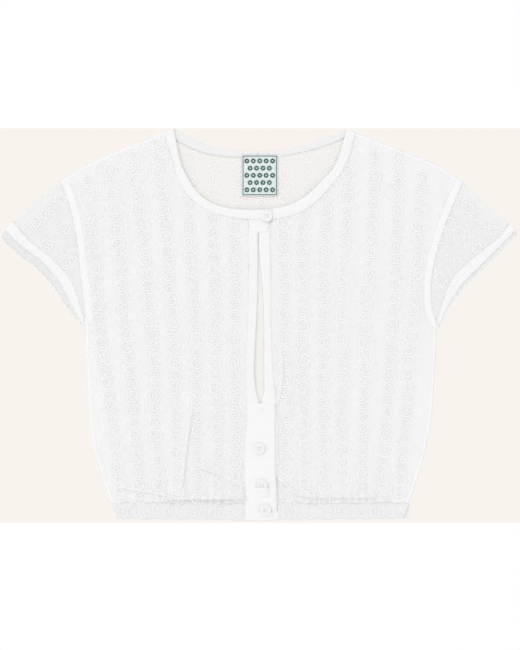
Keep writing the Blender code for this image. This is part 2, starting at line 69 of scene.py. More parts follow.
def place(px, py):
    """A pixel of the photograph as millimetres across and up from the garment's middle."""
    return ((px - 260.5) * MM_PER_PIXEL, (324.5 - py) * MM_PER_PIXEL)


# %% [markdown]
# ## Camera, floor and light
# The blouse is photographed from straight above. A long lens keeps its edges true. The light of
# such a picture is a bright room all round, with one wide lamp from the upper left that gives
# the folds their faint shading.

# %% Camera
LENS = 100.0
SENSOR = 36.0
camera_data = bpy.data.cameras.new("camera")
camera_data.lens = LENS
camera_data.sensor_width = SENSOR
camera = bpy.data.objects.new("camera", camera_data)
bpy.context.scene.collection.objects.link(camera)
bpy.context.scene.camera = camera
middle = place(PHOTO_WIDTH / 2, PHOTO_HEIGHT / 2)
frame_height = PHOTO_HEIGHT * MM_PER_PIXEL * MM
camera.location = (
    (middle[0] + MIDDLE_SHIFT) * MM,
    middle[1] * MM,
    0.004 + frame_height * LENS / SENSOR,
)
print("camera height", round(camera.location.z, 3))


# %% Materials are made of nodes by one helper
def linear(hex_colour):
    """The linear colour of an sRGB hex value, by the standard curve."""
    parts = [int(hex_colour[i : i + 2], 16) / 255 for i in (0, 2, 4)]
    bright = [c / 12.92 if c <= 0.04045 else ((c + 0.055) / 1.055) ** 2.4 for c in parts]
    return (*bright, 1.0)


def node(tree, kind, links=None, **settings):
    """Adds a node, sets its properties and sockets, and links what feeds it.

    A setting names a property, or a socket by its name with _ for a space; i0, i1 and so on
    name a socket by its number. links maps a socket's name or number to the output feeding it.
    """
    made = tree.nodes.new(kind)
    for key, value in settings.items():
        if key[0] == "i" and key[1:].isdigit():
            made.inputs[int(key[1:])].default_value = value
        elif hasattr(made, key):
            setattr(made, key, value)
        else:
            made.inputs[key.replace("_", " ")].default_value = value
    for socket, source in (links or {}).items():
        tree.links.new(source, made.inputs[socket])
    return made


def new_material(name):
    """A material with an empty node tree."""
    material = bpy.data.materials.new(name)
    material.use_nodes = True
    material.node_tree.nodes.clear()
    return material, material.node_tree


def finish_material(tree, shader):
    """Sends a shader to the material's output."""
    node(tree, "ShaderNodeOutputMaterial", {"Surface": shader.outputs[0]})


# %% Floor and light
SHEET_TOP = 226.0
SHEET_LOW = -228.3


def lit_sheet(name, low, high, height, colour):
    """One wide sheet of the light table: a flat glowing rectangle."""
    reach = 3.0
    mesh = bpy.data.meshes.new(name)
    corners = [(-reach, low, height), (reach, low, height), (reach, high, height), (-reach, high, height)]
    mesh.from_pydata(corners, [], [(0, 1, 2, 3)])
    material, tree = new_material(name + ", acrylic, lit from below")
    finish_material(tree, node(tree, "ShaderNodeEmission", Color=linear(colour), Strength=1.0))
    mesh.materials.append(material)
    sheet = bpy.data.objects.new(name, mesh)
    bpy.context.scene.collection.objects.link(sheet)
    return sheet


def plain_floor():
    """A white light table, and on it a cream sheet as deep as the blouse is long."""
    table = lit_sheet("light_table", -3.0, 3.0, -0.0012, "FFFFFF")
    cream = lit_sheet("cream_sheet", SHEET_LOW * MM, SHEET_TOP * MM, -0.0002, "F8F3ED")


def soft_light():
    """An even bright room, and one wide lamp from the upper left."""
    world = bpy.data.worlds.new("bright room")
    world.use_nodes = True
    background = world.node_tree.nodes["Background"]
    background.inputs["Color"].default_value = (1.0, 1.0, 1.0, 1.0)
    background.inputs["Strength"].default_value = 0.95
    bpy.context.scene.world = world
    data = bpy.data.lights.new("window", "SUN")
    data.angle = math.radians(60)
    data.energy = 0.6
    lamp = bpy.data.objects.new("window", data)
    bpy.context.scene.collection.objects.link(lamp)
    lamp.rotation_euler = (0.0, math.radians(-38), math.radians(-38))


plain_floor()
soft_light()
bpy.context.scene.view_settings.view_transform = "Standard"
bpy.context.scene.view_settings.look = "None"
print("floor and light are set")

# %% [markdown]
# ## Lines, patches and walls
# Every piece of cloth is a flat cut with a known outline. A smooth curve runs through a few
# points of each seam, and a patch fills the four curves round a piece. The patch is lifted to
# the height of the cloth, and a second skin half a millimetre below makes it a closed wall.


# %% Lines
def spaced(line, count):
    """Points evenly far apart along a line, by straight interpolation of its running length."""
    steps = np.linalg.norm(np.diff(line, axis=0), axis=1)
    run = np.concatenate([[0.0], np.cumsum(steps)])
    at = np.linspace(0.0, run[-1], count)
    return np.column_stack([np.interp(at, run, line[:, axis]) for axis in range(line.shape[1])])


def curve(points, count):
    """Points along a Catmull-Rom curve: each span is a cubic that leaves and arrives parallel
    to the line through its neighbours."""
    known = np.array(points, float)
    ends = np.vstack([2 * known[0] - known[1], known, 2 * known[-1] - known[-2]])
    t = np.linspace(0.0, 1.0, 25)[:-1, None]
    spans = []
    for a, b, c, d in zip(ends, ends[1:], ends[2:], ends[3:]):
        bend = (2 * a - 5 * b + 4 * c - d) * t**2
        turn = (3 * b - a - 3 * c + d) * t**3
        spans.append(0.5 * (2 * b + (c - a) * t + bend + turn))
    return spaced(np.vstack(spans + [known[-1:]]), count)


def joined(*lines):
    """One line from several, with the ends that two share kept once."""
    return np.vstack([lines[0]] + [line[1:] for line in lines[1:]])


def shifted(line, distance):
    """A line moved sideways along its own normal, to its left where distance is positive."""
    along = np.gradient(line, axis=0)
    along /= np.linalg.norm(along, axis=1)[:, None]
    distance = np.broadcast_to(distance, len(line))[:, None]
    return line + distance * np.column_stack([-along[:, 1], along[:, 0]])


def patch(near, far, start, end):
    """A Coons patch: the sum of the two ruled surfaces between opposite edges, less the flat
    one through the corners. near and far run in the grid's second direction."""
    u = np.linspace(0.0, 1.0, len(start))[:, None, None]
    v = np.linspace(0.0, 1.0, len(near))[None, :, None]
    across = (1 - u) * near[None, :, :] + u * far[None, :, :]
    down = (1 - v) * start[:, None, :] + v * end[:, None, :]
    corners = (1 - u) * ((1 - v) * near[0] + v * near[-1]) + u * ((1 - v) * far[0] + v * far[-1])
    return across + down - corners


def distance_to_line(points, line):
    """How far each point is from the nearest stretch of a line: the distance to the point's
    own foot on each stretch, held between the stretch's ends, and the least of them."""
    flat = points.reshape(-1, 2)
    nearest = np.full(len(flat), 1e9)
    for start, end in zip(line[:-1], line[1:]):
        span = end - start
        share = np.clip(((flat - start) @ span) / max(span @ span, 1e-9), 0.0, 1.0)
        gap = np.linalg.norm(flat - start - share[:, None] * span, axis=1)
        nearest = np.minimum(nearest, gap)
    return nearest.reshape(points.shape[:-1])


def inside(points, line):
    """Whether each point lies in a closed line, by counting the edges crossed on its right."""
    x, y = points[..., 0], points[..., 1]
    crossings = np.zeros(x.shape, int)
    for (x0, y0), (x1, y1) in zip(line, np.roll(line, -1, axis=0)):
        if y0 == y1:
            continue
        spans = (y0 > y) != (y1 > y)
        crossings += spans & (x < (x1 - x0) * (y - y0) / (y1 - y0) + x0)
    return crossings % 2 == 1


# %% [markdown]
# ## The cut
# These few points are the seams of the blouse as it lies. The wearer's right is at -X.

# %% The seams
NECK_POINT_IN = {"right": (-99.7, 225.5), "left": (99.5, 225.5)}
NECK_POINT_OUT = {"right": (-111.6, 221.0), "left": (109.8, 220.6)}
CAP_CORNER = {"right": (-230.6, 165.6), "left": (232.9, 164.4)}
UNDERARM = {"right": (-201.6, -2.3), "left": (203.0, -3.6)}
CASING_CORNER = {"right": (-172.5, CASING_TOP), "left": (170.8, CASING_TOP)}
HEM_CORNER = {"right": (-164.5, -223.6), "left": (163.8, -223.2)}
SHOULDER = {
    "right": [NECK_POINT_OUT["right"], (-142.4, 208.4), (-184.6, 191.1), CAP_CORNER["right"]],
    "left": [NECK_POINT_OUT["left"], (160.4, 200.7), (202.6, 183.4), CAP_CORNER["left"]],
}
ARMHOLE = {
    "right": [CAP_CORNER["right"], (-221.4, 143.2), (-212.8, 108.7), (-206.2, 54.6), (-200.6, 8.0)],
    "left": [CAP_CORNER["left"], (220.2, 135.1), (206.4, 97.2), (197.2, 58.0), (196.2, 26.0), (200.9, 6.0)],
}
SIDE = {
    "right": [UNDERARM["right"], (-199.9, -60.0), (-194.1, -132.8), (-181.1, -178.8), CASING_CORNER["right"]],
    "left": [UNDERARM["left"], (200.7, -48.9), (196.9, -106.4), (186.9, -155.8), CASING_CORNER["left"]],
}
SLEEVE_FOLD = {
    "right": [CAP_CORNER["right"], (-261.3, 141.2), (-284.6, 119.6)],
    "left": [CAP_CORNER["left"], (257.0, 140.9), (285.8, 116.7)],
}
CUFF_INNER = {
    "right": [(-284.6, 119.6), (-267.9, 99.1), (-244.0, 79.9), (-228.6, 64.6), (-215.3, 46.0), (-203.4, 8.0)],
    "left": [(285.8, 116.7), (274.5, 101.1), (257.3, 87.6), (237.1, 70.4), (218.8, 50.0), (203.6, 6.0)],
}
CUFF_OUTER = {
    "right": [
        (-294.1, 108.1), (-271.7, 87.6), (-251.6, 72.2), (-232.5, 50.3), (-220.0, 28.2), (-203.9, -1.6),
    ],
    "left": [(294.4, 108.7), (271.6, 85.7), (250.5, 64.6), (231.4, 44.5), (216.0, 21.5), (205.2, -2.8)],
}
NECK_BACK_UPPER = [
    NECK_POINT_IN["right"], (-78.8, 214.5), (-54.6, 204.6), (-30.5, 200.7),
    (-1.3, 199.5), (33.9, 203.0), (66.5, 212.6), NECK_POINT_IN["left"],
]
NECK_BACK_LOWER = [
    NECK_POINT_OUT["right"], (-89.9, 207.8), (-62.7, 197.2), (-30.0, 192.9),
    (17.8, 193.6), (50.0, 198.8), (82.2, 208.4), NECK_POINT_OUT["left"],
]
NECK_FRONT_OUTER = {
    "right": [
        NECK_POINT_OUT["right"], (-100.9, 190.0), (-94.9, 165.8), (-80.3, 144.9),
        (-62.7, 131.9), (-38.5, 123.9), (-14.6, 120.6),
    ],
    "left": [
        NECK_POINT_OUT["left"], (101.8, 192.0), (92.7, 173.4), (77.6, 154.7),
        (61.5, 138.6), (42.0, 127.1), (10.9, 120.2),
    ],
}
NECK_FRONT_INNER = {
    "right": [
        NECK_POINT_IN["right"], (-92.6, 188.4), (-85.1, 170.8), (-74.2, 152.9),
        (-57.7, 140.1), (-36.8, 132.8), (-14.2, 130.6),
    ],
    "left": [
        NECK_POINT_IN["left"], (87.4, 185.1), (71.3, 165.8), (53.5, 148.1),
        (33.9, 136.8), (11.4, 131.4),
    ],
}
TAB_END = {"right": 13.4, "left": 2.0}

# %% The button stands, section by section
PLACKET_RIGHT_ROWS = [
    {"up": 122.6, "inner": -14.6, "free": 9.8, "rise": 0.6},
    {"up": 107.0, "inner": -14.2, "free": 9.2, "rise": 0.6},
    {"up": 105.8, "inner": -14.1, "free": -2.9, "rise": 0.6},
    {"up": 88.0, "inner": -14.0, "free": -3.1, "rise": 0.6},
    {"up": 60.0, "inner": -13.9, "free": -3.1, "rise": 0.5},
    {"up": 39.7, "inner": -14.1, "free": -3.3, "rise": 0.5},
    {"up": 5.2, "inner": -14.6, "free": -4.6, "rise": 0.5},
    {"up": -29.3, "inner": -16.4, "free": -6.3, "rise": 0.6},
    {"up": -46.6, "inner": -16.8, "free": -7.3, "rise": 0.7},
    {"up": -58.1, "inner": -16.8, "free": -7.2, "rise": 0.7},
    {"up": -75.3, "inner": -16.2, "free": -5.2, "rise": 0.8},
    {"up": -90.3, "inner": -15.6, "free": -1.8, "rise": 0.8},
    {"up": -91.6, "inner": -15.6, "free": 17.4, "rise": 0.8},
    {"up": -120.0, "inner": -17.0, "free": 17.6, "rise": 0.9},
    {"up": -150.0, "inner": -18.4, "free": 17.8, "rise": 1.0},
    {"up": -168.0, "inner": -19.0, "free": 18.2, "rise": 1.6},
    {"up": -176.0, "inner": -19.2, "free": 18.7, "rise": 2.2},
    {"up": -184.0, "inner": -19.3, "free": 19.2, "rise": 1.8},
    {"up": -193.0, "inner": -19.4, "free": 19.5, "rise": 1.4},
    {"up": -201.0, "inner": -19.5, "free": 19.6, "rise": 1.8},
    {"up": -206.5, "inner": -19.5, "free": 19.5, "rise": 1.3},
    {"up": -225.4, "inner": -19.5, "free": 19.0, "rise": 1.1},
]
PLACKET_LEFT_ROWS = [
    {"up": 122.6, "inner": 12.4, "free": -2.6},
    {"up": 104.0, "inner": 12.0, "free": -2.4},
    {"up": 74.2, "inner": 12.6, "free": -1.0},
    {"up": 39.7, "inner": 12.8, "free": 2.8},
    {"up": 20.0, "inner": 12.9, "free": 3.7},
    {"up": 5.2, "inner": 13.0, "free": 3.9},
    {"up": -40.8, "inner": 14.4, "free": 4.0},
    {"up": -70.7, "inner": 17.2, "free": 4.1},
    {"up": -79.9, "inner": 18.2, "free": 3.6},
    {"up": -86.8, "inner": 18.9, "free": 1.6},
    {"up": -100.0, "inner": 20.2, "free": -1.0},
    {"up": -130.0, "inner": 21.4, "free": -2.0},
    {"up": -165.0, "inner": 21.8, "free": -3.0},
    {"up": -191.5, "inner": 22.2, "free": -3.0},
    {"up": -205.3, "inner": 21.8, "free": -3.0},
    {"up": -224.6, "inner": 21.8, "free": -3.0},
]

# %% The folds, each a ridge between two ends
FOLD_ROWS = [
    {"from": (27.0, -179.0), "to": (54.0, -195.5), "width": 9.0, "height": 2.6},
    {"from": (54.0, -195.5), "to": (136.0, -197.5), "width": 9.0, "height": 2.4},
    {"from": (-108.0, -197.5), "to": (-26.0, -196.0), "width": 9.0, "height": 2.4},
    {"from": (-77.0, -162.0), "to": (-42.0, -176.5), "width": 10.0, "height": 1.8},
    {"from": (-79.0, -98.0), "to": (-89.0, -186.0), "width": 11.0, "height": 1.5},
    {"from": (31.0, -24.0), "to": (30.0, -92.0), "width": 9.0, "height": 1.7},
    {"from": (-150.0, -120.0), "to": (-152.0, -190.0), "width": 14.0, "height": 1.2},
    {"from": (120.0, -130.0), "to": (106.0, -188.0), "width": 14.0, "height": 1.3},
    {"from": (-45.0, -60.0), "to": (-52.0, -140.0), "width": 16.0, "height": 1.0},
    {"from": (75.0, -90.0), "to": (72.0, -175.0), "width": 16.0, "height": 1.0},
    {"from": (-190.0, 20.0), "to": (-120.0, 60.0), "width": 16.0, "height": 1.3},
    {"from": (190.0, 20.0), "to": (130.0, 70.0), "width": 16.0, "height": 1.3},
    {"from": (-214.0, 110.0), "to": (-160.0, 128.0), "width": 16.0, "height": 1.0},
    {"from": (210.0, 105.0), "to": (160.0, 126.0), "width": 16.0, "height": 1.0},
]

# %% [markdown]
# ## The height of the cloth
# The front lies over the back with a little air between. Its height above the surface is one
# function of the place, so that panels, bands and embroidery all follow the same folds.


# %% Height
def garment_outline():
    """The closed outline that the garment shows from above."""
    sides = []
    for side in ("right", "left"):
        line = joined(
            curve([NECK_POINT_IN[side], *SHOULDER[side]], 14),
            curve(SLEEVE_FOLD[side], 8),
            curve([SLEEVE_FOLD[side][-1], CUFF_OUTER[side][0]], 3),
            curve(CUFF_OUTER[side], 12),
            curve([CUFF_OUTER[side][-1], *SIDE[side][1:], HEM_CORNER[side]], 20),
        )
        sides.append(line)
    right, left = sides
    return np.vstack([right, left[::-1], right[:1]])


OUTLINE = garment_outline()
RIPPLES = [
    {"length": 52.0, "turn": 0.25, "height": 0.30},
    {"length": 37.0, "turn": 1.35, "height": 0.22},
    {"length": 26.0, "turn": -0.15, "height": 0.20},
    {"length": 19.0, "turn": 0.55, "height": 0.13},
    {"length": 13.0, "turn": -0.60, "height": 0.09},
]
GATHER_PITCH = 11.0
GATHER_FADE = 26.0


def ripple(points):
    """Soft unevenness of pressed cloth: waves in several directions, each swelling and fading
    along its crest by a slower wave."""
    total = np.zeros(points.shape[:-1])
    for number, wave in enumerate(RIPPLES):
        across = points[..., 0] * math.cos(wave["turn"]) + points[..., 1] * math.sin(wave["turn"])
        along = points[..., 1] * math.cos(wave["turn"]) - points[..., 0] * math.sin(wave["turn"])
        swell = 0.5 + 0.5 * np.sin(along * 2 * math.pi / (2.3 * wave["length"]) + 1.7 * number)
        bent = across + 5.0 * np.sin(along / 31.0 + number)
        total += wave["height"] * swell * np.sin(bent * 2 * math.pi / wave["length"] + 2.1 * number)
    return total


def hem_gathers(points):
    """Small upright waves that start at the casing and die out upwards."""
    up = points[..., 1] - CASING_TOP
    phase = points[..., 0] / GATHER_PITCH + 0.35 * np.sin(points[..., 0] / 9.0)
    reach = GATHER_FADE * (1.0 + 0.5 * np.sin(points[..., 0] / 17.0))
    return 0.75 * np.exp(-np.maximum(up, 0.0) / reach) * np.cos(2 * math.pi * phase)


CREASES = [
    {"line": [place(277, 479.5), place(304, 496.7), place(376, 498)], "height": 1.7, "width": 6.0},
    {"line": [place(193, 465), place(224, 478)], "height": 1.5, "width": 6.0},
    {"line": [place(224, 478), place(247, 489)], "height": 0.8, "width": 5.0},
    {"line": [place(183, 488), place(187, 450), place(193, 408)], "height": 1.1, "width": 6.0},
    {"line": [place(279, 404), place(283, 380), place(283, 350)], "height": 0.9, "width": 5.0},
    {"line": [place(168, 500), place(250, 499)], "height": 1.2, "width": 5.0},
    {"line": [place(118, 488), place(168, 497)], "height": 0.8, "width": 6.0},
    {"line": [place(88, 262), place(128, 238)], "height": 0.6, "width": 9.0},
    {"line": [place(395, 240), place(432, 262)], "height": 0.6, "width": 9.0},
    {"line": [place(452, 204), place(492, 212)], "height": 0.8, "width": 7.0},
]


def creases(points):
    """Sharp creases. The cloth steps up along a line, on the left of the line's way, and falls
    back softly behind the step. The step fades at both ends."""
    total = np.zeros(points.shape[:-1])
    for crease in CREASES:
        line = np.array(crease["line"], float)
        chord = line[-1] - line[0]
        away = distance_to_line(points, line)
        share = ((points - line[0]) @ chord) / (chord @ chord)
        bend = np.interp(share, ((line - line[0]) @ chord) / (chord @ chord), np.cross(chord, line - line[0]))
        side = np.cross(chord, points - line[0]) - bend
        step = np.clip(0.5 + np.sign(side) * away / 1.6, 0.0, 1.0)
        ends = np.sin(math.pi * np.clip(share, 0.0, 1.0)) ** 0.6
        total += crease["height"] * step * ends * np.exp(-((away / crease["width"]) ** 2))
    return total


def loft(reach):
    """The height of the front's inner face at a distance from the outline: the back's wall, a
    seam gap, and a loft that grows as one less a bell curve."""
    return WALL + SEAM_GAP + LOFT * (1.0 - np.exp(-((reach / LOFT_REACH) ** 2)))


def casing_step(up):
    """How far the cloth steps up over the casing, which is thicker than the panels."""
    return 0.5 * np.clip((CASING_TOP + CASING_RUN - up) / CASING_RUN, 0.0, 1.0)


def lift(points, fine=1.0):
    """The height of the front's inner face anywhere: its loft, a bell-shaped ridge for each
    fold, and the step over the casing. fine adds ripples, gathers and creases."""
    reach = distance_to_line(points, OUTLINE)
    fade = np.minimum(reach / LOFT_REACH, 1.0)
    height = loft(reach)
    for fold in FOLD_ROWS:
        ridge = np.array([fold["from"], fold["to"]], float)
        away = distance_to_line(points, ridge) / fold["width"]
        height = height + fold["height"] * np.exp(-(away**2)) * fade
    calm = np.clip((np.abs(points[..., 0]) - 14.0) / 12.0, 0.15, 1.0)
    small = calm * (ripple(points) + hem_gathers(points)) + creases(points)
    return height + casing_step(points[..., 1]) + fine * fade * small


def middle_lift(up):
    """The front's height along the middle line, where no fold stands."""
    line = np.stack([np.zeros_like(up), up], axis=-1)
    return loft(distance_to_line(line, OUTLINE)) + casing_step(up)


def raised(plan, height):
    """The points of a flat plan at a height."""
    height = np.broadcast_to(height, plan.shape[:-1])
    return np.concatenate([plan, height[..., None]], axis=-1)


print("outline points", len(OUTLINE))


# %% [markdown]
# ## Putting arrays into meshes
# One function makes a mesh object from points, faces and cloth coordinates. The cloth
# coordinates are metres along the threads, so that a weave follows the cut of each piece.


# %% Mesh helpers
def solid(name, points, faces, material, grain=None, double=None, smooth=True):
    """A mesh object from arrays of points in millimetres and of quads or triangles. grain
    holds each point's place along the cloth's threads, in metres, and double is one where a
    turned-in seam edge makes the cloth double. smooth is one value, or one for each face."""
    points = np.asarray(points, float).reshape(-1, 3) + (MIDDLE_SHIFT, 0.0, 0.0)
    faces = np.asarray(faces)
    mesh = bpy.data.meshes.new(name)
    mesh.vertices.add(len(points))
    mesh.vertices.foreach_set("co", (points * MM).astype(np.float32).ravel())
    sides = faces.shape[1]
    mesh.loops.add(faces.size)
    mesh.loops.foreach_set("vertex_index", faces.astype(np.int32).ravel())
    mesh.polygons.add(len(faces))
    mesh.polygons.foreach_set("loop_start", np.arange(0, faces.size, sides, dtype=np.int32))
    mesh.polygons.foreach_set("use_smooth", np.broadcast_to(smooth, len(faces)))
    mesh.update(calc_edges=True)
    if grain is None:
        grain = points[:, :2] * MM
    layer = mesh.uv_layers.new(name="grain")
    layer.data.foreach_set("uv", np.asarray(grain, np.float32)[faces.ravel()].ravel())
    if double is not None:
        share = mesh.attributes.new("double", "FLOAT", "POINT")
        share.data.foreach_set("value", np.asarray(double, np.float32).ravel())
    mesh.validate()
    mesh.materials.append(material)
    obj = bpy.data.objects.new(name, mesh)
    bpy.context.scene.collection.objects.link(obj)
    return obj


def wall_faces(rows, columns):
    """The quads of a closed wall: an upper grid, a lower one turned over, and a rim."""
    index = np.arange(rows * columns).reshape(rows, columns)
    quads = np.stack([index[:-1, :-1], index[1:, :-1], index[1:, 1:], index[:-1, 1:]], axis=-1)
    quads = quads.reshape(-1, 4)
    edge = np.concatenate([index[:-1, 0], index[-1, :-1], index[:0:-1, -1], index[0, :0:-1]])
    following = np.roll(edge, -1)
    under = rows * columns
    rim = np.stack([edge, edge + under, following + under, following], axis=-1)
    return np.concatenate([quads, quads[:, ::-1] + under, rim])


def wall(name, outer, inner, material, grain=None, double=None):
    """A closed wall between two grids of points. It is turned inside out where its first quad
    of the outer grid looks towards the inner one."""
    rows, columns = outer.shape[:2]
    faces = wall_faces(rows, columns)
    middle_row, middle_column = rows // 2, columns // 2
    here = outer[middle_row, middle_column]
    side_a = outer[min(middle_row + 1, rows - 1), middle_column] - outer[middle_row - 1, middle_column]
    side_b = outer[middle_row, min(middle_column + 1, columns - 1)] - outer[middle_row, middle_column - 1]
    if np.cross(side_a, side_b) @ (here - inner[middle_row, middle_column]) < 0:
        faces = faces[:, ::-1]
    if grain is not None:
        grain = np.concatenate([grain.reshape(-1, 2), grain.reshape(-1, 2)])
    if double is not None:
        double = np.concatenate([double.ravel(), double.ravel()])
    points = np.concatenate([outer.reshape(-1, 3), inner.reshape(-1, 3)])
    smooth = np.arange(len(faces)) < 2 * (rows - 1) * (columns - 1)
    return solid(name, points, faces, material, grain, double, smooth)


def plan_area(plan):
    """The area of a flat grid in square metres: half the cross product of each quad's
    diagonals, summed."""
    one = plan[1:, 1:] - plan[:-1, :-1]
    two = plan[:-1, 1:] - plan[1:, :-1]
    return float(np.abs(one[..., 0] * two[..., 1] - one[..., 1] * two[..., 0]).sum() / 2) * MM * MM


def dress(obj, slot, *nodes, flat=None, area=None, rests_on=(), on_it=()):
    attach(obj, "root")
    if nodes:
        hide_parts(*nodes)
    if flat is not None:
        list(rests_on)
        list(on_it)
    print(obj.name, len(obj.data.polygons), "faces")
    return obj


# %% [markdown]
# ## Finishes
# The voile is a loose plain weave of fine cotton: the ground shows through it, more between
# its threads than on them. Its real threads are a third of a millimetre apart, too fine for
# the picture, so the open net between the rings is drawn at its own 2.3 mm.

# %% Cloth finishes
NET_PITCH = 2.3 * MM
WEAVE_PITCH = 0.9 * MM
TAPE_PITCH = 1.0 * MM
LABEL_THREAD_PITCH = 0.8 * MM
DOUBLE_COVER = 0.96
DOUBLE_TINT = "F6F6F9"


def woven_wave(tree, grain, pitch):
    """The product of two crossed cosines at the given pitch, one at each thread crossing."""
    split = node(tree, "ShaderNodeSeparateXYZ", {0: grain})
    waves = []
    for axis in (0, 1):
        turn = node(
            tree, "ShaderNodeMath", {0: split.outputs[axis]}, operation="MULTIPLY", i1=2 * math.pi / pitch
        )
        waves.append(node(tree, "ShaderNodeMath", {0: turn.outputs[0]}, operation="COSINE"))
    return node(
        tree, "ShaderNodeMath", {0: waves[0].outputs[0], 1: waves[1].outputs[0]}, operation="MULTIPLY"
    )


def voile_material(name, colour, thin, dense):
    """Bleached cotton voile: matte and partly see-through, from thin between its threads to
    dense on them."""
    material, tree = new_material(name)
    grain = node(tree, "ShaderNodeUVMap", uv_map="grain").outputs[0]
    net = woven_wave(tree, grain, NET_PITCH)
    cover = node(
        tree,
        "ShaderNodeMapRange",
        {"Value": net.outputs[0]},
        From_Min=-1.0,
        From_Max=1.0,
        To_Min=thin,
        To_Max=dense,
    )
    double = node(tree, "ShaderNodeAttribute", attribute_name="double")
    alpha = node(
        tree,
        "ShaderNodeMix",
        {"Factor": double.outputs["Fac"], "A": cover.outputs[0]},
        data_type="FLOAT",
        i3=DOUBLE_COVER,
    )
    tint = node(
        tree,
        "ShaderNodeMix",
        {"Factor": double.outputs["Fac"]},
        data_type="RGBA",
        i6=linear(colour),
        i7=linear(DOUBLE_TINT),
    )
    bump = node(tree, "ShaderNodeBump", {"Height": net.outputs[0]}, Strength=0.15, Distance=0.0003)
    shader = node(
        tree,
        "ShaderNodeBsdfPrincipled",
        {"Base Color": tint.outputs[2], "Alpha": alpha.outputs[0], "Normal": bump.outputs[0]},
        Roughness=0.9,
        Specular_IOR_Level=0.2,
        Sheen_Weight=0.15,
    )
    finish_material(tree, shader)
    return material


def cotton_material(name, dull, bright):
    """Bleached cotton batiste in several layers: matte, dense, with a fine plain weave."""
    material, tree = new_material(name)
    grain = node(tree, "ShaderNodeUVMap", uv_map="grain").outputs[0]
    weave = woven_wave(tree, grain, WEAVE_PITCH)
    cloud = node(tree, "ShaderNodeTexNoise", {"Vector": grain}, Scale=120.0, Detail=5.0, Roughness=0.6)
    tint = node(
        tree,
        "ShaderNodeMix",
        {"Factor": cloud.outputs["Fac"]},
        data_type="RGBA",
        i6=linear(dull),
        i7=linear(bright),
    )
    height = node(
        tree, "ShaderNodeMath", {0: weave.outputs[0], 1: cloud.outputs["Fac"]}, operation="ADD"
    )
    bump = node(tree, "ShaderNodeBump", {"Height": height.outputs[0]}, Strength=0.3, Distance=0.00025)
    shader = node(
        tree,
        "ShaderNodeBsdfPrincipled",
        {"Base Color": tint.outputs[2], "Normal": bump.outputs[0]},
        Roughness=0.88,
        Specular_IOR_Level=0.2,
        Sheen_Weight=0.1,
    )
    finish_material(tree, shader)
    return material


def thread_material():
    """Mercerised cotton thread laid in satin stitch: white, with a low gloss along it."""
    material, tree = new_material("mercerised cotton thread, satin stitch")
    grain = node(tree, "ShaderNodeUVMap", uv_map="grain").outputs[0]
    strands = node(
        tree, "ShaderNodeTexWave", {"Vector": grain}, Scale=240.0, Distortion=1.5, bands_direction="X"
    )
    bump = node(tree, "ShaderNodeBump", {"Height": strands.outputs["Fac"]}, Strength=0.3, Distance=0.0002)
    shader = node(
        tree,
        "ShaderNodeBsdfPrincipled",
        {"Normal": bump.outputs[0]},
        Base_Color=linear("EFEFF0"),
        Roughness=0.75,
        Specular_IOR_Level=0.25,
    )
    finish_material(tree, shader)
    return material


def pearl_material():
    """Cast polyester with a pearl filler: smooth, softly cloudy, with a clear gloss."""
    material, tree = new_material("pearly polyester, cast")
    place_of = node(tree, "ShaderNodeTexCoord").outputs["Object"]
    cloud = node(tree, "ShaderNodeTexNoise", {"Vector": place_of}, Scale=160.0, Detail=3.0, Distortion=1.2)
    tint = node(
        tree,
        "ShaderNodeMix",
        {"Factor": cloud.outputs["Fac"]},
        data_type="RGBA",
        i6=linear("E7E7E6"),
        i7=linear("ECECEB"),
    )
    shader = node(
        tree,
        "ShaderNodeBsdfPrincipled",
        {"Base Color": tint.outputs[2]},
        Roughness=0.35,
        Specular_IOR_Level=0.4,
    )
    finish_material(tree, shader)
    return material


def tape_material():
    """Satin-woven polyester tape: smooth, off-white, with fine ribs across it."""
    material, tree = new_material("label tape, satin-woven")
    grain = node(tree, "ShaderNodeUVMap", uv_map="grain").outputs[0]
    ribs = woven_wave(tree, grain, TAPE_PITCH)
    bump = node(tree, "ShaderNodeBump", {"Height": ribs.outputs[0]}, Strength=0.25, Distance=0.0002)
    shader = node(
        tree,
        "ShaderNodeBsdfPrincipled",
        {"Normal": bump.outputs[0]},
        Base_Color=linear("DCE4E3"),
        Roughness=0.5,
    )
    finish_material(tree, shader)
    return material


def green_thread_material():
    """Polyester label thread, dyed dark green: fine and a little glossy."""
    material, tree = new_material("label thread, dyed green")
    grain = node(tree, "ShaderNodeUVMap", uv_map="grain").outputs[0]
    ribs = woven_wave(tree, grain, LABEL_THREAD_PITCH)
    tint = node(
        tree,
        "ShaderNodeMix",
        {"Factor": ribs.outputs[0]},
        data_type="RGBA",
        i6=linear("1E5552"),
        i7=linear("356F6B"),
    )
    shader = node(tree, "ShaderNodeBsdfPrincipled", {"Base Color": tint.outputs[2]}, Roughness=0.55)
    finish_material(tree, shader)
    return material


VOILE = voile_material("cotton voile, plain-woven", "FDFDFE", 0.50, 0.60)
# The sleeves' voile is a shade darker than the front's: painted shade for sleeves that slope away from the
# lamp.
SLEEVE_VOILE_PAINTED_SHADE = voile_material("cotton voile, plain-woven, folded, with painted shade", "F8F8F9", 0.50, 0.60)
# The back's voile is darker and a little warmer than the front's: the darker tone is painted shade for the
# inside of the back, which lies under the front.
BACK_VOILE_PAINTED_SHADE = voile_material("cotton voile, plain-woven, inside, with painted shade", "F0EFED", 0.52, 0.64)
HEM_VOILE = voile_material("cotton voile, turned up double", "F3F3F4", 0.74, 0.90)
COTTON = cotton_material("cotton batiste, plain-woven", "EDEDEE", "F2F2F3")
INNER_COTTON = cotton_material("cotton batiste, single fold", "E7E7E7", "EDEDED")
THREAD = thread_material()
PEARL = pearl_material()
TAPE = tape_material()
GREEN = green_thread_material()
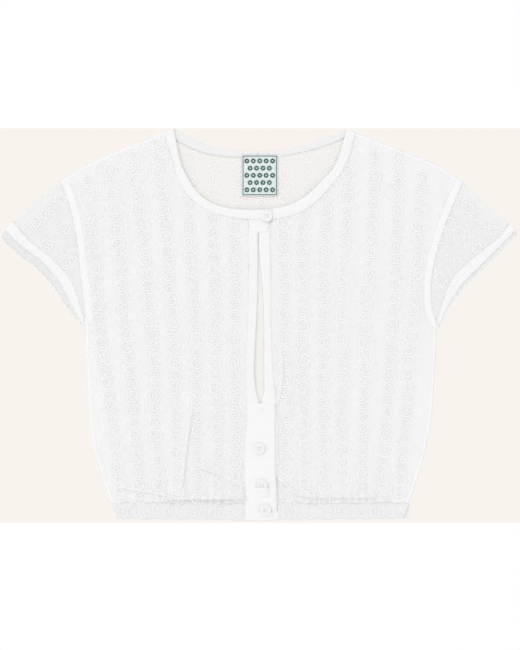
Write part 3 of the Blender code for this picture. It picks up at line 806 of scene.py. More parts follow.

# %% [markdown]
# ## Back and fronts
# Each panel is one patch between its seams. The back lies on the surface, nearly flat, with a
# slight unevenness and a low rise under the slit. The fronts follow the folds.


# %% Plans of the panels
def stand_line(rows, key, count):
    """One edge of a button stand as a line of points."""
    table = np.array([[row[key], row["up"]] for row in rows])
    at = np.linspace(0.0, len(rows) - 1.0, count)
    own = np.arange(len(rows))
    return np.column_stack([np.interp(at, own, table[:, 0]), np.interp(at, own, table[:, 1])])


def front_plan(side):
    """The flat plan of one front, from the shoulder to the casing."""
    turn = SIDES[side]
    rows = PLACKET_RIGHT_ROWS if side == "right" else PLACKET_LEFT_ROWS
    edge = stand_line(rows, "inner", 200)
    edge = edge[(edge[:, 1] < 119.4) & (edge[:, 1] > CASING_TOP)]
    stop = np.array([[np.interp(-CASING_TOP, -edge[:, 1], edge[:, 0]), CASING_TOP - UNDERLAP]])
    neck = (0.88 * curve(NECK_FRONT_OUTER[side], 72) + 0.12 * curve(NECK_FRONT_INNER[side], 72))[:-1]
    stand = spaced(np.vstack([edge, stop]), 150)
    stand[:, 0] += turn * UNDERLAP
    near = np.vstack([neck, stand])
    armhole = shifted(curve(ARMHOLE[side], 76), turn * -0.8)
    far = joined(armhole, curve([armhole[-1], *SIDE[side]], len(near) - 75))
    far[-1, 1] = CASING_TOP - UNDERLAP
    start = curve(SHOULDER[side], 112)
    start[0], start[-1] = near[0], far[0]
    end = np.linspace(near[-1], far[-1], 112)
    return patch(near, far, start, end)


def back_plan():
    """The flat plan of the back."""
    sides = []
    for side in ("right", "left"):
        line = joined(curve(ARMHOLE[side], 46), curve([ARMHOLE[side][-1], *SIDE[side]], 60))
        line[-1, 1] = CASING_TOP + SEAM_GAP
        sides.append(line)
    top = joined(
        curve(SHOULDER["right"], 30)[::-1], curve(NECK_BACK_LOWER, 61), curve(SHOULDER["left"], 30)
    )
    top[0], top[-1] = sides[0][0], sides[1][0]
    bottom = np.linspace(sides[0][-1], sides[1][-1], len(top))
    return patch(sides[0], sides[1], top, bottom)


SLIT = np.array([(-2.0, 95.0), (0.0, -96.0)])


def back_lift(points):
    """The height of the back's upper skin: nearly flat, with a slight unevenness, and pushed
    up a little where it shows in the slit."""
    reach = np.minimum(distance_to_line(points, OUTLINE) / LOFT_REACH, 1.0)
    slit = distance_to_line(points, SLIT) / 10.0
    return 0.75 + 0.35 * reach * ripple(points * 1.3) + 1.4 * np.exp(-(slit**2))


def seam_double(points, side):
    """One where the front's turned-in seam edges lie: 8.5 mm along the armhole, 3.5 mm along the
    shoulder and 4 mm along the side, with a soft limit."""
    total = np.zeros(points.shape[:-1])
    for lines, width in ((ARMHOLE, 8.5), (SHOULDER, 3.5), (SIDE, 4.0)):
        away = distance_to_line(points, curve(lines[side], 40))
        total = np.maximum(total, 0.8 * np.clip((width - away) / 1.5, 0.0, 1.0))
    return total


# %% Panels
voile_pieces = {}
for side in ("right", "left"):
    plan = front_plan(side)
    top = lift(plan) + WALL
    voile_pieces["front_" + side] = (plan, wall(
        "voile_front_" + side,
        raised(plan, top),
        raised(plan, top - CLOTH),
        VOILE,
        double=seam_double(plan, side),
    ))
plan = back_plan()
top = back_lift(plan)
# The back's voile carries painted shade in its darker colour.
voile_pieces["back"] = (plan, wall("voile_back", raised(plan, top), raised(plan, top - CLOTH), BACK_VOILE_PAINTED_SHADE))


# %% [markdown]
# ## Sleeves, cuffs and lace
# A cap sleeve lies folded along its top, so one wall runs from the underarm along the lower
# layer, round the fold and back along the upper one. The cuff's binding and the lace follow.


# %% Folded pieces
def unit(vectors):
    """Vectors of length one."""
    return vectors / np.linalg.norm(vectors, axis=-1, keepdims=True)


def folded(name, plan, material, cloth, upper=None, lower=None, turn_grain=0.0):
    """A wall folded along the plan's first column: the lower layer near the surface, half a
    circle round the fold, and the upper layer at the height of the front."""
    inward = unit(plan[:, 1] - plan[:, 0])
    outer_radius = WALL + SEAM_GAP / 2
    inner_radius = outer_radius - cloth
    angle = np.linspace(-math.pi / 2, math.pi / 2, 9)
    centre = plan[:, 0] + inward * outer_radius

    def turn(radius):
        across = centre[:, None] - inward[:, None] * (radius * np.cos(angle))[None, :, None]
        return raised(across, outer_radius + radius * np.sin(angle)[None, :])

    keep = np.linalg.norm(plan - plan[:, :1], axis=2).min(axis=0) > outer_radius + 0.2
    flat = plan[:, keep]
    under = flat[:, ::-1]
    above = lift(flat) + WALL if upper is None else upper[:, keep]
    below = np.zeros(under.shape[:-1]) if lower is None else lower[:, keep][:, ::-1]
    outer = np.concatenate([raised(under, below), turn(outer_radius), raised(flat, above)], axis=1)
    inner = np.concatenate(
        [raised(under, below + cloth), turn(inner_radius), raised(flat, above - cloth)], axis=1
    )
    cos, sin = math.cos(turn_grain), math.sin(turn_grain)
    grain = outer[..., :2] @ np.array([[cos, -sin], [sin, cos]]) * MM
    return wall(name, outer, inner, material, grain)


SLEEVE_GRAIN = {"right": math.radians(42), "left": math.radians(-42)}
for side, turn in SIDES.items():
    armhole = curve(ARMHOLE[side], 70)
    cuff = shifted(curve(CUFF_INNER[side], 70), turn * -UNDERLAP)
    top_fold = curve(SLEEVE_FOLD[side], 40)
    top_fold[0], top_fold[-1] = armhole[0], cuff[0]
    bottom = np.linspace(armhole[-1], cuff[-1], 40)
    plan = patch(armhole, cuff, top_fold, bottom)
    # The sleeve voile carries painted shade in its darker colour.
    made = folded("voile_sleeve_" + side, plan, SLEEVE_VOILE_PAINTED_SHADE, CLOTH, turn_grain=SLEEVE_GRAIN[side])
    voile_pieces["sleeve_" + side] = (plan, made)


# %% [markdown]
# ## Bands of plain cotton
# Neck binding, cuffs and button stands are strips of plain cotton folded double or fourfold.
# A strip's section is flat with soft round edges, and it puckers a little along its seams.


# %% A strip
TOPS = {}


def band_profile(share):
    """A strip's section: one in its middle, falling to about a third at both edges."""
    return 0.5 + 0.5 * (1.0 - np.abs(2.0 * share - 1.0) ** 5)


def pucker(run, share, seed):
    """Small uneven waves across a strip that are strongest near its two seams."""
    draw = np.random.default_rng(seed)
    total = np.zeros_like(run)
    for length in (4.2, 5.9, 8.3, 13.0):
        total = total + np.sin(run * 2 * math.pi / length + draw.uniform(0, 6.28))
    near_seam = 0.35 + 0.65 * np.abs(2.0 * share - 1.0) ** 2
    return 0.055 * total * near_seam


def strip_grid(one, two, across):
    """The flat grid between two lines, and each point's run along it and share across it."""
    share = np.linspace(0.0, 1.0, across)[:, None]
    plan = (1 - share[..., None]) * one[None] + share[..., None] * two[None]
    centre = (one + two) / 2
    run = np.concatenate([[0.0], np.cumsum(np.linalg.norm(np.diff(centre, axis=0), axis=1))])
    run = np.broadcast_to(run[None, :], plan.shape[:-1])
    return plan, run, np.broadcast_to(share, plan.shape[:-1])


def strip(name, one, two, base, thickness, seed, across=11, material=None):
    """A strip of cloth between two lines, its underside at base and its upper side crowned."""
    plan, run, share = strip_grid(one, two, across)
    base = base(plan) if callable(base) else np.broadcast_to(base, plan.shape[:-1])
    top = base + thickness * band_profile(share) + pucker(run, share, seed)
    TOPS[name] = raised(plan, top)
    width = np.linalg.norm(two - one, axis=1).mean()
    grain = np.stack([run, share * width], axis=-1) * MM
    return plan, wall(name, raised(plan, top), raised(plan, base), material or COTTON, grain)


# %% Neck binding
bands = {}
upper = curve(NECK_BACK_UPPER, 150)
lower = curve(NECK_BACK_LOWER, 150)
bands["neck_binding_back"] = strip(
    "binding_back", upper, lower, 0.1, 1.35, 3, material=INNER_COTTON
)
for side, turn in SIDES.items():
    inner = shifted(curve(NECK_FRONT_INNER[side], 110), turn * np.linspace(0.0, 1.3, 110))
    outer = curve(NECK_FRONT_OUTER[side], 110)
    end = TAB_END[side]
    inner = joined(inner, np.linspace(inner[-1], (end, inner[-1][1] + 0.4), 24))
    outer = joined(outer, np.linspace(outer[-1], (end, outer[-1][1]), 24))
    over = np.clip((inner[:, 0] + 40.0) / 30.0, 0.0, 1.0)
    rise = 0.6 * over * over * (3.0 - 2.0 * over) if side == "right" else 0.0 * over

    def binding_base(points, rise=rise):
        return lift(points, fine=0.4) + 0.75 + rise[None, :]

    bands["neck_binding_" + side] = strip("binding_" + side, inner, outer, binding_base, 1.15, 4)

# %% Button stands
stand_counts = {"placket_right": 460, "placket_left": 300}
for name, rows in (("placket_right", PLACKET_RIGHT_ROWS), ("placket_left", PLACKET_LEFT_ROWS)):
    count = stand_counts[name]
    inner = stand_line(rows, "inner", count)
    free = stand_line(rows, "free", count)
    own = np.arange(len(rows))
    rise = np.interp(np.linspace(0, len(rows) - 1.0, count), own, [row.get("rise", 0.0) for row in rows])
    smooth = np.convolve(np.pad(rise, 12, mode="edge"), np.ones(25) / 25, mode="valid")
    height = middle_lift(inner[:, 1]) - 0.1 + smooth

    def stand_base(points, height=height, smooth=smooth):
        share = np.linspace(0.0, 1.0, len(points))[:, None]
        bulge = np.maximum(smooth - 0.9, 0.0)[None, :]
        return height[None, :] - bulge * np.abs(2.0 * share - 1.0) ** 3

    bands[name] = strip(name + "_cloth", inner, free, stand_base, 1.0, 5, across=17)

# %% Cuffs
for side, turn in SIDES.items():
    inner = curve(CUFF_INNER[side], 110)
    outer = curve(CUFF_OUTER[side], 110)
    plan, run, share = strip_grid(inner, outer, 11)
    crown = band_profile(share)
    above = lift(plan) + 0.35 + 1.15 * crown + pucker(run, share, 6)
    TOPS["cuff_band_" + side] = raised(plan, above)
    made = folded("cuff_band_" + side, plan, COTTON, 0.9, upper=above)
    bands["cuff_" + side] = (plan, made)

# %% [markdown]
# ## The gathered casing
# The hem holds a flat elastic that draws it in, so its cloth stands in small upright ridges.
# No two are alike: their spacing and height wander.


# %% Casing
def casing_ridges(across, down):
    """Upright ridges whose phase wanders, with smaller ones between them that lean."""
    phase = across / 4.9 + 0.55 * np.sin(across / 7.3) + 0.35 * np.sin(across / 3.1 + 2.0)
    lean = 0.25 * np.sin(across / 11.0)
    big = np.cos(2 * math.pi * (phase + lean * down))
    small = np.cos(2 * math.pi * (across / 2.7 + 0.6 * np.sin(across / 5.0) + 0.4 * down))
    strength = 0.6 + 0.4 * np.sin(across / 15.0 + np.sin(across / 6.0))
    return strength * (0.30 * big + 0.12 * small)


def casing(name, corner_top, corner_low, middle_x, bottom_y, material, count=420, above=True):
    """One stretch of the casing: a flat tube with a round lower edge, gathered upright."""
    top = np.linspace(corner_top, (middle_x, CASING_TOP), count)
    top[:, 1] += 0.5 * np.sin(top[:, 0] / 5.1 + 2.0 * np.sin(top[:, 0] / 13.0))
    bottom = np.linspace(corner_low, (middle_x, bottom_y), count)
    bottom[:, 1] += 0.6 * np.sin(bottom[:, 0] / 3.4 + np.sin(bottom[:, 0] / 9.0))
    plan, _, share = strip_grid(top, bottom, 15)
    section = np.minimum(1.0, 0.35 + 0.65 * np.sin(math.pi * np.clip(share, 0.02, 0.98)) ** 0.45)
    ridges = casing_ridges(plan[..., 0], share) * np.sin(math.pi * np.clip(share, 0.08, 0.93)) ** 0.5
    if above:
        base = lift(plan, fine=0.0)
        height = base + 1.9 * section + ridges
    else:
        base = np.zeros(plan.shape[:-1])
        height = 1.15 * section + 0.3 * ridges
    return plan, wall(name, raised(plan, height), raised(plan, base), material)


right_middle = PLACKET_RIGHT_ROWS[-1]["inner"] + UNDERLAP
left_middle = PLACKET_LEFT_ROWS[-1]["inner"] - UNDERLAP
bands["casing_right"] = casing(
    "casing_right_cloth", CASING_CORNER["right"], HEM_CORNER["right"], right_middle, -224.8, HEM_VOILE
)
bands["casing_left"] = casing(
    "casing_left_cloth", CASING_CORNER["left"], HEM_CORNER["left"], left_middle, -224.8, HEM_VOILE
)
bands["casing_back"] = casing(
    "casing_back_cloth",
    CASING_CORNER["right"],
    HEM_CORNER["right"],
    CASING_CORNER["left"][0],
    HEM_CORNER["left"][1],
    HEM_VOILE,
    count=700,
    above=False,
)

# %% [markdown]
# ## Lips of the creases
# Where the cloth is pushed together it folds over itself. The rolled edge of such a fold is a
# narrow lip, high along the crease and sinking into the cloth behind it.

# %% Lips
LIP_HEIGHTS = [2.2, 1.7, 1.0, 1.5, 1.3, 1.5, 0.9]
LIP_WIDTH = 4.5
LIP_COVER = 0.15


def lip(name, line, height, seed):
    """A rolled edge along a crease. It fades at both ends and wavers a little between them."""
    edge = curve(line, 90)
    draw = np.random.default_rng(seed)
    run = np.linspace(0.0, 1.0, 90)
    edge[:, 1] += 0.5 * np.sin(run * 19.0 + draw.uniform(0, 6.28)) * np.sin(math.pi * run)
    share = np.linspace(0.0, 1.0, 9)[:, None]
    plan = np.stack([shifted(edge, LIP_WIDTH * part) for part in share[:, 0]])
    ends = np.sin(math.pi * run)[None, :] ** 0.5
    rise = height * ends * (1.0 - share) ** 1.3 * (1.0 + 0.2 * np.sin(run * 31.0))[None, :]
    ground = lift(plan) + WALL
    top = ground - 0.25 + rise + 0.05 * ends
    cover = np.full(top.shape, LIP_COVER)
    return plan, wall(name, raised(plan, top), raised(plan, ground - 0.45), VOILE, double=cover)


for number, height in enumerate(LIP_HEIGHTS):
    bands[f"lip_{number}"] = lip(f"fold_lip_{number}", CREASES[number]["line"], height, 30 + number)

# %% [markdown]
# ## Embroidered rings
# Rings of satin stitch stand in upright columns, big and small ones in turn, each with a
# smaller ring and a few bars inside. They are one joined mesh for each panel, computed as
# arrays: every ring is the same profile carried round a circle, laid on the cloth's height.

# %% Where the rings stand
COLUMN_ROWS = {
    "right": [
        {"neck": -30.7, "chest": -30.7, "hem": -28.4},
        {"neck": -56.0, "chest": -51.4, "hem": -50.3},
        {"neck": -89.4, "chest": -73.3, "hem": -72.1},
        {"neck": -117.0, "chest": -99.7, "hem": -95.1},
        {"neck": -145.7, "chest": -125.0, "hem": -117.0},
        {"neck": -173.3, "chest": -154.9, "hem": -138.8},
        {"neck": -200.9, "chest": -186.0, "hem": -160.7},
    ],
    "left": [
        {"neck": 26.8, "chest": 27.9, "hem": 30.2},
        {"neck": 47.5, "chest": 47.5, "hem": 52.1},
        {"neck": 76.2, "chest": 70.5, "hem": 73.9},
        {"neck": 100.4, "chest": 92.3, "hem": 95.8},
        {"neck": 132.6, "chest": 119.9, "hem": 117.6},
        {"neck": 159.0, "chest": 152.1, "hem": 139.5},
        {"neck": 186.6, "chest": 174.0, "hem": 160.2},
    ],
}
NECK_UP, CHEST_UP, HEM_UP = 178.0, 5.0, -202.0
RING_SIZES = [7.5, 6.0, 6.8, 7.2, 5.6]
RING_GAP = 1.0
INNER_SHARE = 0.42
RING_STROKE = (0.7, 0.17)
INNER_STROKE = (0.45, 0.14)
BAR_STROKE = (0.32, 0.13)


def ring_run(length, seed):
    """Places and radii of rings along a column of the given length."""
    draw = np.random.default_rng(seed)
    count = int(length / 10)
    radius = np.array(RING_SIZES)[draw.integers(0, len(RING_SIZES), count)]
    step = radius[:-1] + radius[1:] + RING_GAP
    at = draw.uniform(0, 8) + np.concatenate([[0.0], np.cumsum(step)])
    return at[at < length], radius[at < length]


def column_rings(columns, seed):
    """Centres and radii of the rings of a panel, column by column, from the top down."""
    centres, radii = [], []
    for number, column in enumerate(columns):
        at, radius = ring_run(440.0, seed + number)
        up = 226.0 - at
        x = np.interp(-up, (-NECK_UP, -CHEST_UP, -HEM_UP), (column["neck"], column["chest"], column["hem"]))
        centres.append(np.column_stack([x + 0.8 * np.sin(up / 23.0 + number), up]))
        radii.append(radius)
    return np.vstack(centres), np.concatenate(radii)


def tilted_rings(anchor, reach, angle, pitch, seed):
    """Rings in columns that run at an angle, one of them through the anchor."""
    centre = np.array(anchor)
    along = np.array([math.cos(angle), math.sin(angle)])
    across = np.array([-along[1], along[0]])
    centres, radii = [], []
    for number in range(-int(reach / pitch), int(reach / pitch) + 1):
        at, radius = ring_run(2 * reach, seed + 100 + number)
        centres.append(centre + across * number * pitch + along * (at - reach)[:, None])
        radii.append(radius)
    return np.vstack(centres), np.concatenate(radii)


def plan_border(plan):
    """The closed line round a plan's grid."""
    return np.concatenate([plan[:-1, 0], plan[-1, :-1], plan[:0:-1, -1], plan[0, :0:-1]])


def keep_inside(centres, radii, border):
    """The rings whose centres lie in a border. Bands may cover their edges, but none reaches
    past the garment's own outline."""
    closed = np.vstack([border, border[:1]])
    keep = inside(centres, border) & (distance_to_line(centres, closed) > 0.45 * radii)
    keep &= distance_to_line(centres, OUTLINE) > 1.1 * radii
    return centres[keep], radii[keep]


# %% Thread carried round circles and along bars
def tubes(path, side, wide, high, sections=4, closed=True):
    """Vertices and quads of many tubes at once: path is (tubes, steps, 3), side is the unit
    vector across each step. A section is an ellipse with the given half width and height."""
    count, steps = path.shape[:2]
    turn = np.arange(sections) * 2 * math.pi / sections
    offset = side[:, :, None, :] * (wide * np.cos(turn))[None, None, :, None]
    points = path[:, :, None, :] + offset
    points[..., 2] += high * np.sin(turn)
    index = np.arange(count * steps * sections).reshape(count, steps, sections)
    after = np.roll(index, -1, axis=1) if closed else index[:, 1:]
    here = index if closed else index[:, :-1]
    quads = np.stack([here, after, np.roll(after, -1, axis=2), np.roll(here, -1, axis=2)], axis=-1)
    faces = quads.reshape(-1, 4)
    if not closed and sections == 4:
        faces = np.concatenate([faces, index[:, 0, ::-1].reshape(-1, 4), index[:, -1].reshape(-1, 4)])
    return points.reshape(-1, 3), faces


def circles(centres, radii, steps, height, squash=(1.0, 1.0)):
    """Paths round many circles, or ovals where squashed, and the way out at each step."""
    turn = np.arange(steps) * 2 * math.pi / steps
    out = np.stack([np.cos(turn), np.sin(turn)], axis=-1)
    plan = centres[:, None] + radii[:, None, None] * out[None] * np.array(squash)
    side = np.broadcast_to(np.concatenate([out, np.zeros((steps, 1))], axis=1), (*plan.shape[:2], 3))
    return raised(plan, height(plan)), side


def joined_mesh(parts):
    """One set of points and faces from several."""
    points, faces, start = [], [], 0
    for part_points, part_faces in parts:
        points.append(part_points)
        faces.append(part_faces + start)
        start += len(part_points)
    return np.vstack(points), np.vstack(faces)


def embroidery(name, groups, seed):
    """One joined mesh of rings. Each group has centres, radii and the height they lie at."""
    parts = []
    draw = np.random.default_rng(seed)
    for centres, radii, height in groups:
        path, side = circles(centres, radii - RING_STROKE[0], 28, height)
        parts.append(tubes(path, side, *RING_STROKE))
        path, side = circles(centres, INNER_SHARE * radii, 14, height)
        parts.append(tubes(path, side, *INNER_STROKE))
        first = draw.uniform(0, 2 * math.pi, len(centres))
        for bar in range(6):
            turn = first + bar * math.pi / 3
            out = np.column_stack([np.cos(turn), np.sin(turn)])
            near = centres + out * (INNER_SHARE * radii)[:, None]
            far = centres + out * (radii - 0.9)[:, None]
            ends = np.stack([near, far], axis=1)
            side_way = np.column_stack([-out[:, 1], out[:, 0], np.zeros(len(out))])
            side_way = np.broadcast_to(side_way[:, None, :], (len(out), 2, 3))
            parts.append(tubes(raised(ends, height(ends)), side_way, *BAR_STROKE, closed=False))
    points, faces = joined_mesh(parts)
    return solid(name, points, faces, THREAD, smooth=False)


def cloth_height(points):
    """The front's upper side."""
    return lift(points) + WALL + 0.15


def back_height(points):
    """The back's upper side."""
    return back_lift(points) + 0.15


def sleeve_low_height(points):
    """The middle of a sleeve's lower layer."""
    return np.full(points.shape[:-1], 0.45)


# %% Embroider the panels
stitched = {}
for side in ("right", "left"):
    centres, radii = column_rings(COLUMN_ROWS[side], 20 if side == "right" else 40)
    centres, radii = keep_inside(centres, radii, plan_border(voile_pieces["front_" + side][0]))
    stitched["front_" + side] = embroidery("rings_front_" + side, [(centres, radii, cloth_height)], 1)
    print(len(centres), "rings on the front", side)
back_columns = [{"neck": 26.5 * k, "chest": 26.5 * k, "hem": 22.0 * k} for k in range(-8, 9)]
centres, radii = column_rings(back_columns, 60)
centres, radii = keep_inside(centres, radii, plan_border(voile_pieces["back"][0]))
clear = (np.abs(centres[:, 0]) > 8.0) | (centres[:, 1] > 115.0)
centres, radii = centres[clear], radii[clear]
stitched["back"] = embroidery("rings_back", [(centres, radii, back_height)], 2)
print(len(centres), "rings on the back")
SLEEVE_ANCHOR = {"right": place(58.8, 201.9), "left": place(462.0, 203.0)}
SLEEVE_ANGLE = {"right": math.radians(222), "left": math.radians(-41)}
SLEEVE_PITCH = 27.5
for side in ("right", "left"):
    border = plan_border(voile_pieces["sleeve_" + side][0])
    angle = SLEEVE_ANGLE[side]
    aside = np.array([-math.sin(angle), math.cos(angle)]) * SLEEVE_PITCH / 2
    groups = []
    for seed, height, shift in ((80, cloth_height, 0.0), (90, sleeve_low_height, 1.0)):
        anchor = np.array(SLEEVE_ANCHOR[side]) + shift * aside
        centres, radii = tilted_rings(anchor, 150.0, angle, SLEEVE_PITCH, seed)
        centres, radii = keep_inside(centres, radii, border)
        groups.append((centres, radii, height))
    stitched["sleeve_" + side] = embroidery("rings_sleeve_" + side, groups, 3)

# %% Rings caught in the gathers and in the fold above them
def casing_top(points):
    """The height of the front casing about the middle of its width."""
    return lift(points, fine=0.0) + 1.95


def caught_rings(name, centres, radius, height, squash, relief):
    """Rings seen squeezed: an oval outer ring and an oval inner one."""
    radii = np.full(len(centres), radius)
    path, side = circles(centres, radii, 22, height, squash)
    parts = [tubes(path, side, 0.6, relief)]
    path, side = circles(centres, radii * 0.45, 12, height, squash)
    parts.append(tubes(path, side, 0.4, relief))
    points, faces = joined_mesh(parts)
    return solid(name, points, faces, THREAD, smooth=False)


def uneven_row(start, end, pitch, seed):
    """Places along a line, each a little off its even place."""
    draw = np.random.default_rng(seed)
    length = np.linalg.norm(np.subtract(end, start))
    row = np.linspace(start, end, int(length / pitch) + 1)
    return row + draw.uniform(-1.2, 1.2, row.shape)


casing_row = np.vstack([
    uneven_row((-162.0, -215.0), (-25.0, -215.5), 10.5, 5),
    uneven_row((28.0, -215.5), (162.0, -215.0), 10.5, 6),
])
stitched["casing"] = caught_rings("rings_casing", casing_row, 4.6, casing_top, (0.7, 1.0), 0.35)
fold_row = uneven_row(place(170, 501.5), place(248, 500.5), 9.0, 7)
stitched["fold"] = caught_rings("rings_in_fold", fold_row, 3.9, cloth_height, (1.0, 0.6), 0.8)

# %% [markdown]
# ## Lace
# The edging is a narrow bobbin lace: a straight footing, a scalloped outer cord, and threads
# that fan out between them. The threads are tubes laid on a fine net.

# %% Lace
SCALLOPS = 18
LACE_WIDTH = {"right": 10.5, "left": 5.2}


def lace_lines(side, turn):
    """The lace's footing, and its outer line as a function of the share of its width."""
    count = SCALLOPS * 8 + 1
    edge = curve(CUFF_OUTER[side], count)
    share = np.linspace(0.0, 1.0, count)
    wave = np.abs(np.sin(share * SCALLOPS * math.pi))
    width = LACE_WIDTH[side] * (1.0 - 0.75 * share**4) * np.minimum(0.8 + 4.0 * share, 1.0)

    def line(part):
        return shifted(edge, -turn * part * (width - 1.6 * (1.0 - wave)))

    return line


def open_tube(line, height, wide):
    """One thread along a line of points on the flat."""
    along = unit(np.gradient(line, axis=0))
    side = np.column_stack([-along[:, 1], along[:, 0], np.zeros(len(line))])
    return tubes(raised(line, height)[None], side[None], wide, 0.8 * wide, closed=False)


def lace(side, turn):
    """The lace of one sleeve, on the lower layer and on the upper one."""
    line = lace_lines(side, turn)
    foot, outer = line(0.06), line(1.0)
    parts = []
    for upper in (False, True):
        for part, wide in ((0.06, 0.55), (0.36, 0.4), (0.66, 0.4), (1.0, 0.6)):
            way = line(part)
            height = np.full(len(way), 1.45 if upper else 0.6)
            parts.append(open_tube(way, height, wide))
        height = np.full(len(foot), 1.45 if upper else 0.6)
        for start in range(0, len(foot) - 4, 2):
            for lean in (0, 4):
                ends = np.stack([foot[start + 2], outer[min(start + lean, len(foot) - 1)]])
                level = np.array([height[start + 2], height[min(start + lean, len(foot) - 1)]])
                parts.append(open_tube(ends, level, 0.3))
    points, faces = joined_mesh(parts)
    return solid("lace_edging_" + side, points, faces, THREAD, smooth=False)


def lace_ground(side, turn):
    """The fine net that the lace's threads are worked on, on both layers."""
    line = lace_lines(side, turn)
    plan = np.stack([line(part) for part in np.linspace(0.0, 0.97, 5)])
    pieces = []
    for name, level in (("upper", 1.3), ("lower", 0.45)):
        top = np.full(plan.shape[:-1], level)
        made = wall("lace_net_" + name + "_" + side, raised(plan, top), raised(plan, top - 0.3), HEM_VOILE)
        pieces.append((plan, made))
    return pieces


laces = {side: lace(side, turn) for side, turn in SIDES.items()}
nets = {side: lace_ground(side, turn) for side, turn in SIDES.items()}


# %% [markdown]
# ## Label
# A woven label is sewn inside the back of the neck. It carries no name: its field holds a
# plain repeat of small green flowers, as on a ribbon.

# %% Label
LABEL_SIZE = (41.5, 47.6)
LABEL_CENTRE = (-0.9, 171.6)
x = np.linspace(-LABEL_SIZE[0] / 2, LABEL_SIZE[0] / 2, 30)
y = np.linspace(-LABEL_SIZE[1] / 2, LABEL_SIZE[1] / 2, 30)
label_plan = np.stack(np.meshgrid(x, y, indexing="ij"), axis=-1) + np.array(LABEL_CENTRE)


def label_height(points):
    """The label's upper side, bowed up across its width and a little uneven."""
    share = (points[..., 0] - LABEL_CENTRE[0]) / LABEL_SIZE[0]
    bow = 0.8 * np.cos(math.pi * share)
    return 2.2 + bow + 0.12 * np.sin(points[..., 1] / 5.0 + share * 3.0)


label_top = label_height(label_plan)
label = wall("label_tape", raised(label_plan, label_top), raised(label_plan, label_top - 0.6), TAPE)


def petals(centres, length, wide, count, first=0.0):
    """Flat almond petals round many centres: each is a ring of points about its own middle,
    thicker in the middle of its length, lying on the label."""
    parts = []
    for number in range(count):
        turn = first + 2 * math.pi * number / count
        out = np.array([math.cos(turn), math.sin(turn)])
        side = np.array([-out[1], out[0]])
        share = np.linspace(0.0, 1.0, 7)
        half = wide * np.sin(math.pi * np.clip(share, 0.04, 0.96))
        path = centres[:, None] + out * (0.8 + length * share)[None, :, None]
        left, right = path + side * half[None, :, None], path - side * half[None, :, None]
        ring = np.concatenate([left, right[:, ::-1]], axis=1)
        top = raised(ring, label_height(ring) + 0.22)
        low = raised(ring, label_height(ring) - 0.1)
        size = ring.shape[1]
        index = np.arange(len(centres) * size * 2).reshape(len(centres), 2, size)
        points = np.stack([top, low], axis=1).reshape(-1, 3)
        after = np.roll(index, -1, axis=2)
        rim = np.stack([index[:, 1], after[:, 1], after[:, 0], index[:, 0]], axis=-1).reshape(-1, 4)
        caps = []
        for step in range(len(share) - 1):
            here, there = step, step + 1
            mirror, mirror_next = size - 1 - step, size - 2 - step
            around = [here, mirror, mirror_next, there]
            caps.append(index[:, 0, around])
            caps.append(index[:, 1, around[::-1]])
        parts.append((points, np.vstack([rim, *caps])))
    return joined_mesh(parts)


def label_flowers():
    """Five rows of flowers, every second row set half a step aside, inside a narrow border."""
    centres = []
    for row in range(5):
        for column in range(5 if row % 2 == 0 else 4):
            x_at = (column - (2.0 if row % 2 == 0 else 1.5)) * 7.4
            centres.append((LABEL_CENTRE[0] + x_at, LABEL_CENTRE[1] + (row - 2) * 8.3))
    parts = [petals(np.array(centres), 2.5, 0.78, 8)]
    frame_x, frame_y = LABEL_SIZE[0] / 2 - 1.6, LABEL_SIZE[1] / 2 - 1.6
    corners = [(-frame_x, -frame_y), (frame_x, -frame_y), (frame_x, frame_y), (-frame_x, frame_y)]
    for start, end in zip(corners, corners[1:] + corners[:1]):
        line = np.linspace(start, end, 20) + np.array(LABEL_CENTRE)
        parts.append(open_tube(line, label_height(line) + 0.05, 0.45))
    points, faces = joined_mesh(parts)
    return solid("label_flowers", points, faces, GREEN)


label_motif = label_flowers()

# %% [markdown]
# ## Stitches and tucks
# The stands, binding and cuffs are sewn down with a row of small stitches near their edges, and
# a bar tack closes the foot of the slit. Two soft tucks of the stand half cover the lower
# buttons, because the blouse is pushed together above its hem.


# %% Stitches
STITCH = 1.7


def stitch_row(line):
    """Every second step of a line on a band's top as one short thread."""
    length = np.linalg.norm(np.diff(line, axis=0), axis=1).sum()
    knots = spaced(line, int(length / STITCH) // 2 * 2)
    path = np.stack([knots[0::2], knots[1::2]], axis=1) + (0.0, 0.0, 0.08)
    along = unit(path[:, 1, :2] - path[:, 0, :2])
    side = np.column_stack([-along[:, 1], along[:, 0], np.zeros(len(along))])
    return tubes(path, np.broadcast_to(side[:, None, :], path.shape), 0.24, 0.16, closed=False)


def bar_tack(centre, height):
    """A short dense bar of threads that lean across the foot of the slit."""
    parts = []
    for number in range(7):
        start = np.array(centre) + (number * 0.75 - 2.6, -2.6 + 0.15 * number)
        end = start + (1.4, 5.0)
        parts.append(open_tube(np.stack([start, end]), np.array([height, height + 0.2]), 0.38))
    return parts


stitch_rows = [
    stitch_row(TOPS["placket_right_cloth"][1]),
    stitch_row(TOPS["placket_right_cloth"][-2]),
    stitch_row(TOPS["placket_left_cloth"][1]),
    stitch_row(TOPS["placket_left_cloth"][-2][:150]),
    stitch_row(TOPS["binding_right"][-2]),
    stitch_row(TOPS["binding_left"][-2]),
    stitch_row(TOPS["binding_back"][-2]),
    stitch_row(TOPS["cuff_band_right"][1]),
    stitch_row(TOPS["cuff_band_left"][1]),
]
stand_middle = TOPS["placket_right_cloth"][8]


def stand_top(up):
    """The height of the right stand's top along its middle."""
    return np.interp(-np.asarray(up), -stand_middle[:, 1], stand_middle[:, 2])


tack_at = place(261, 411)
stitch_rows += bar_tack(tack_at, float(stand_top(tack_at[1])) + 0.15)
points, faces = joined_mesh(stitch_rows)
stitched["seams"] = solid("stitches", points, faces, THREAD, smooth=False)


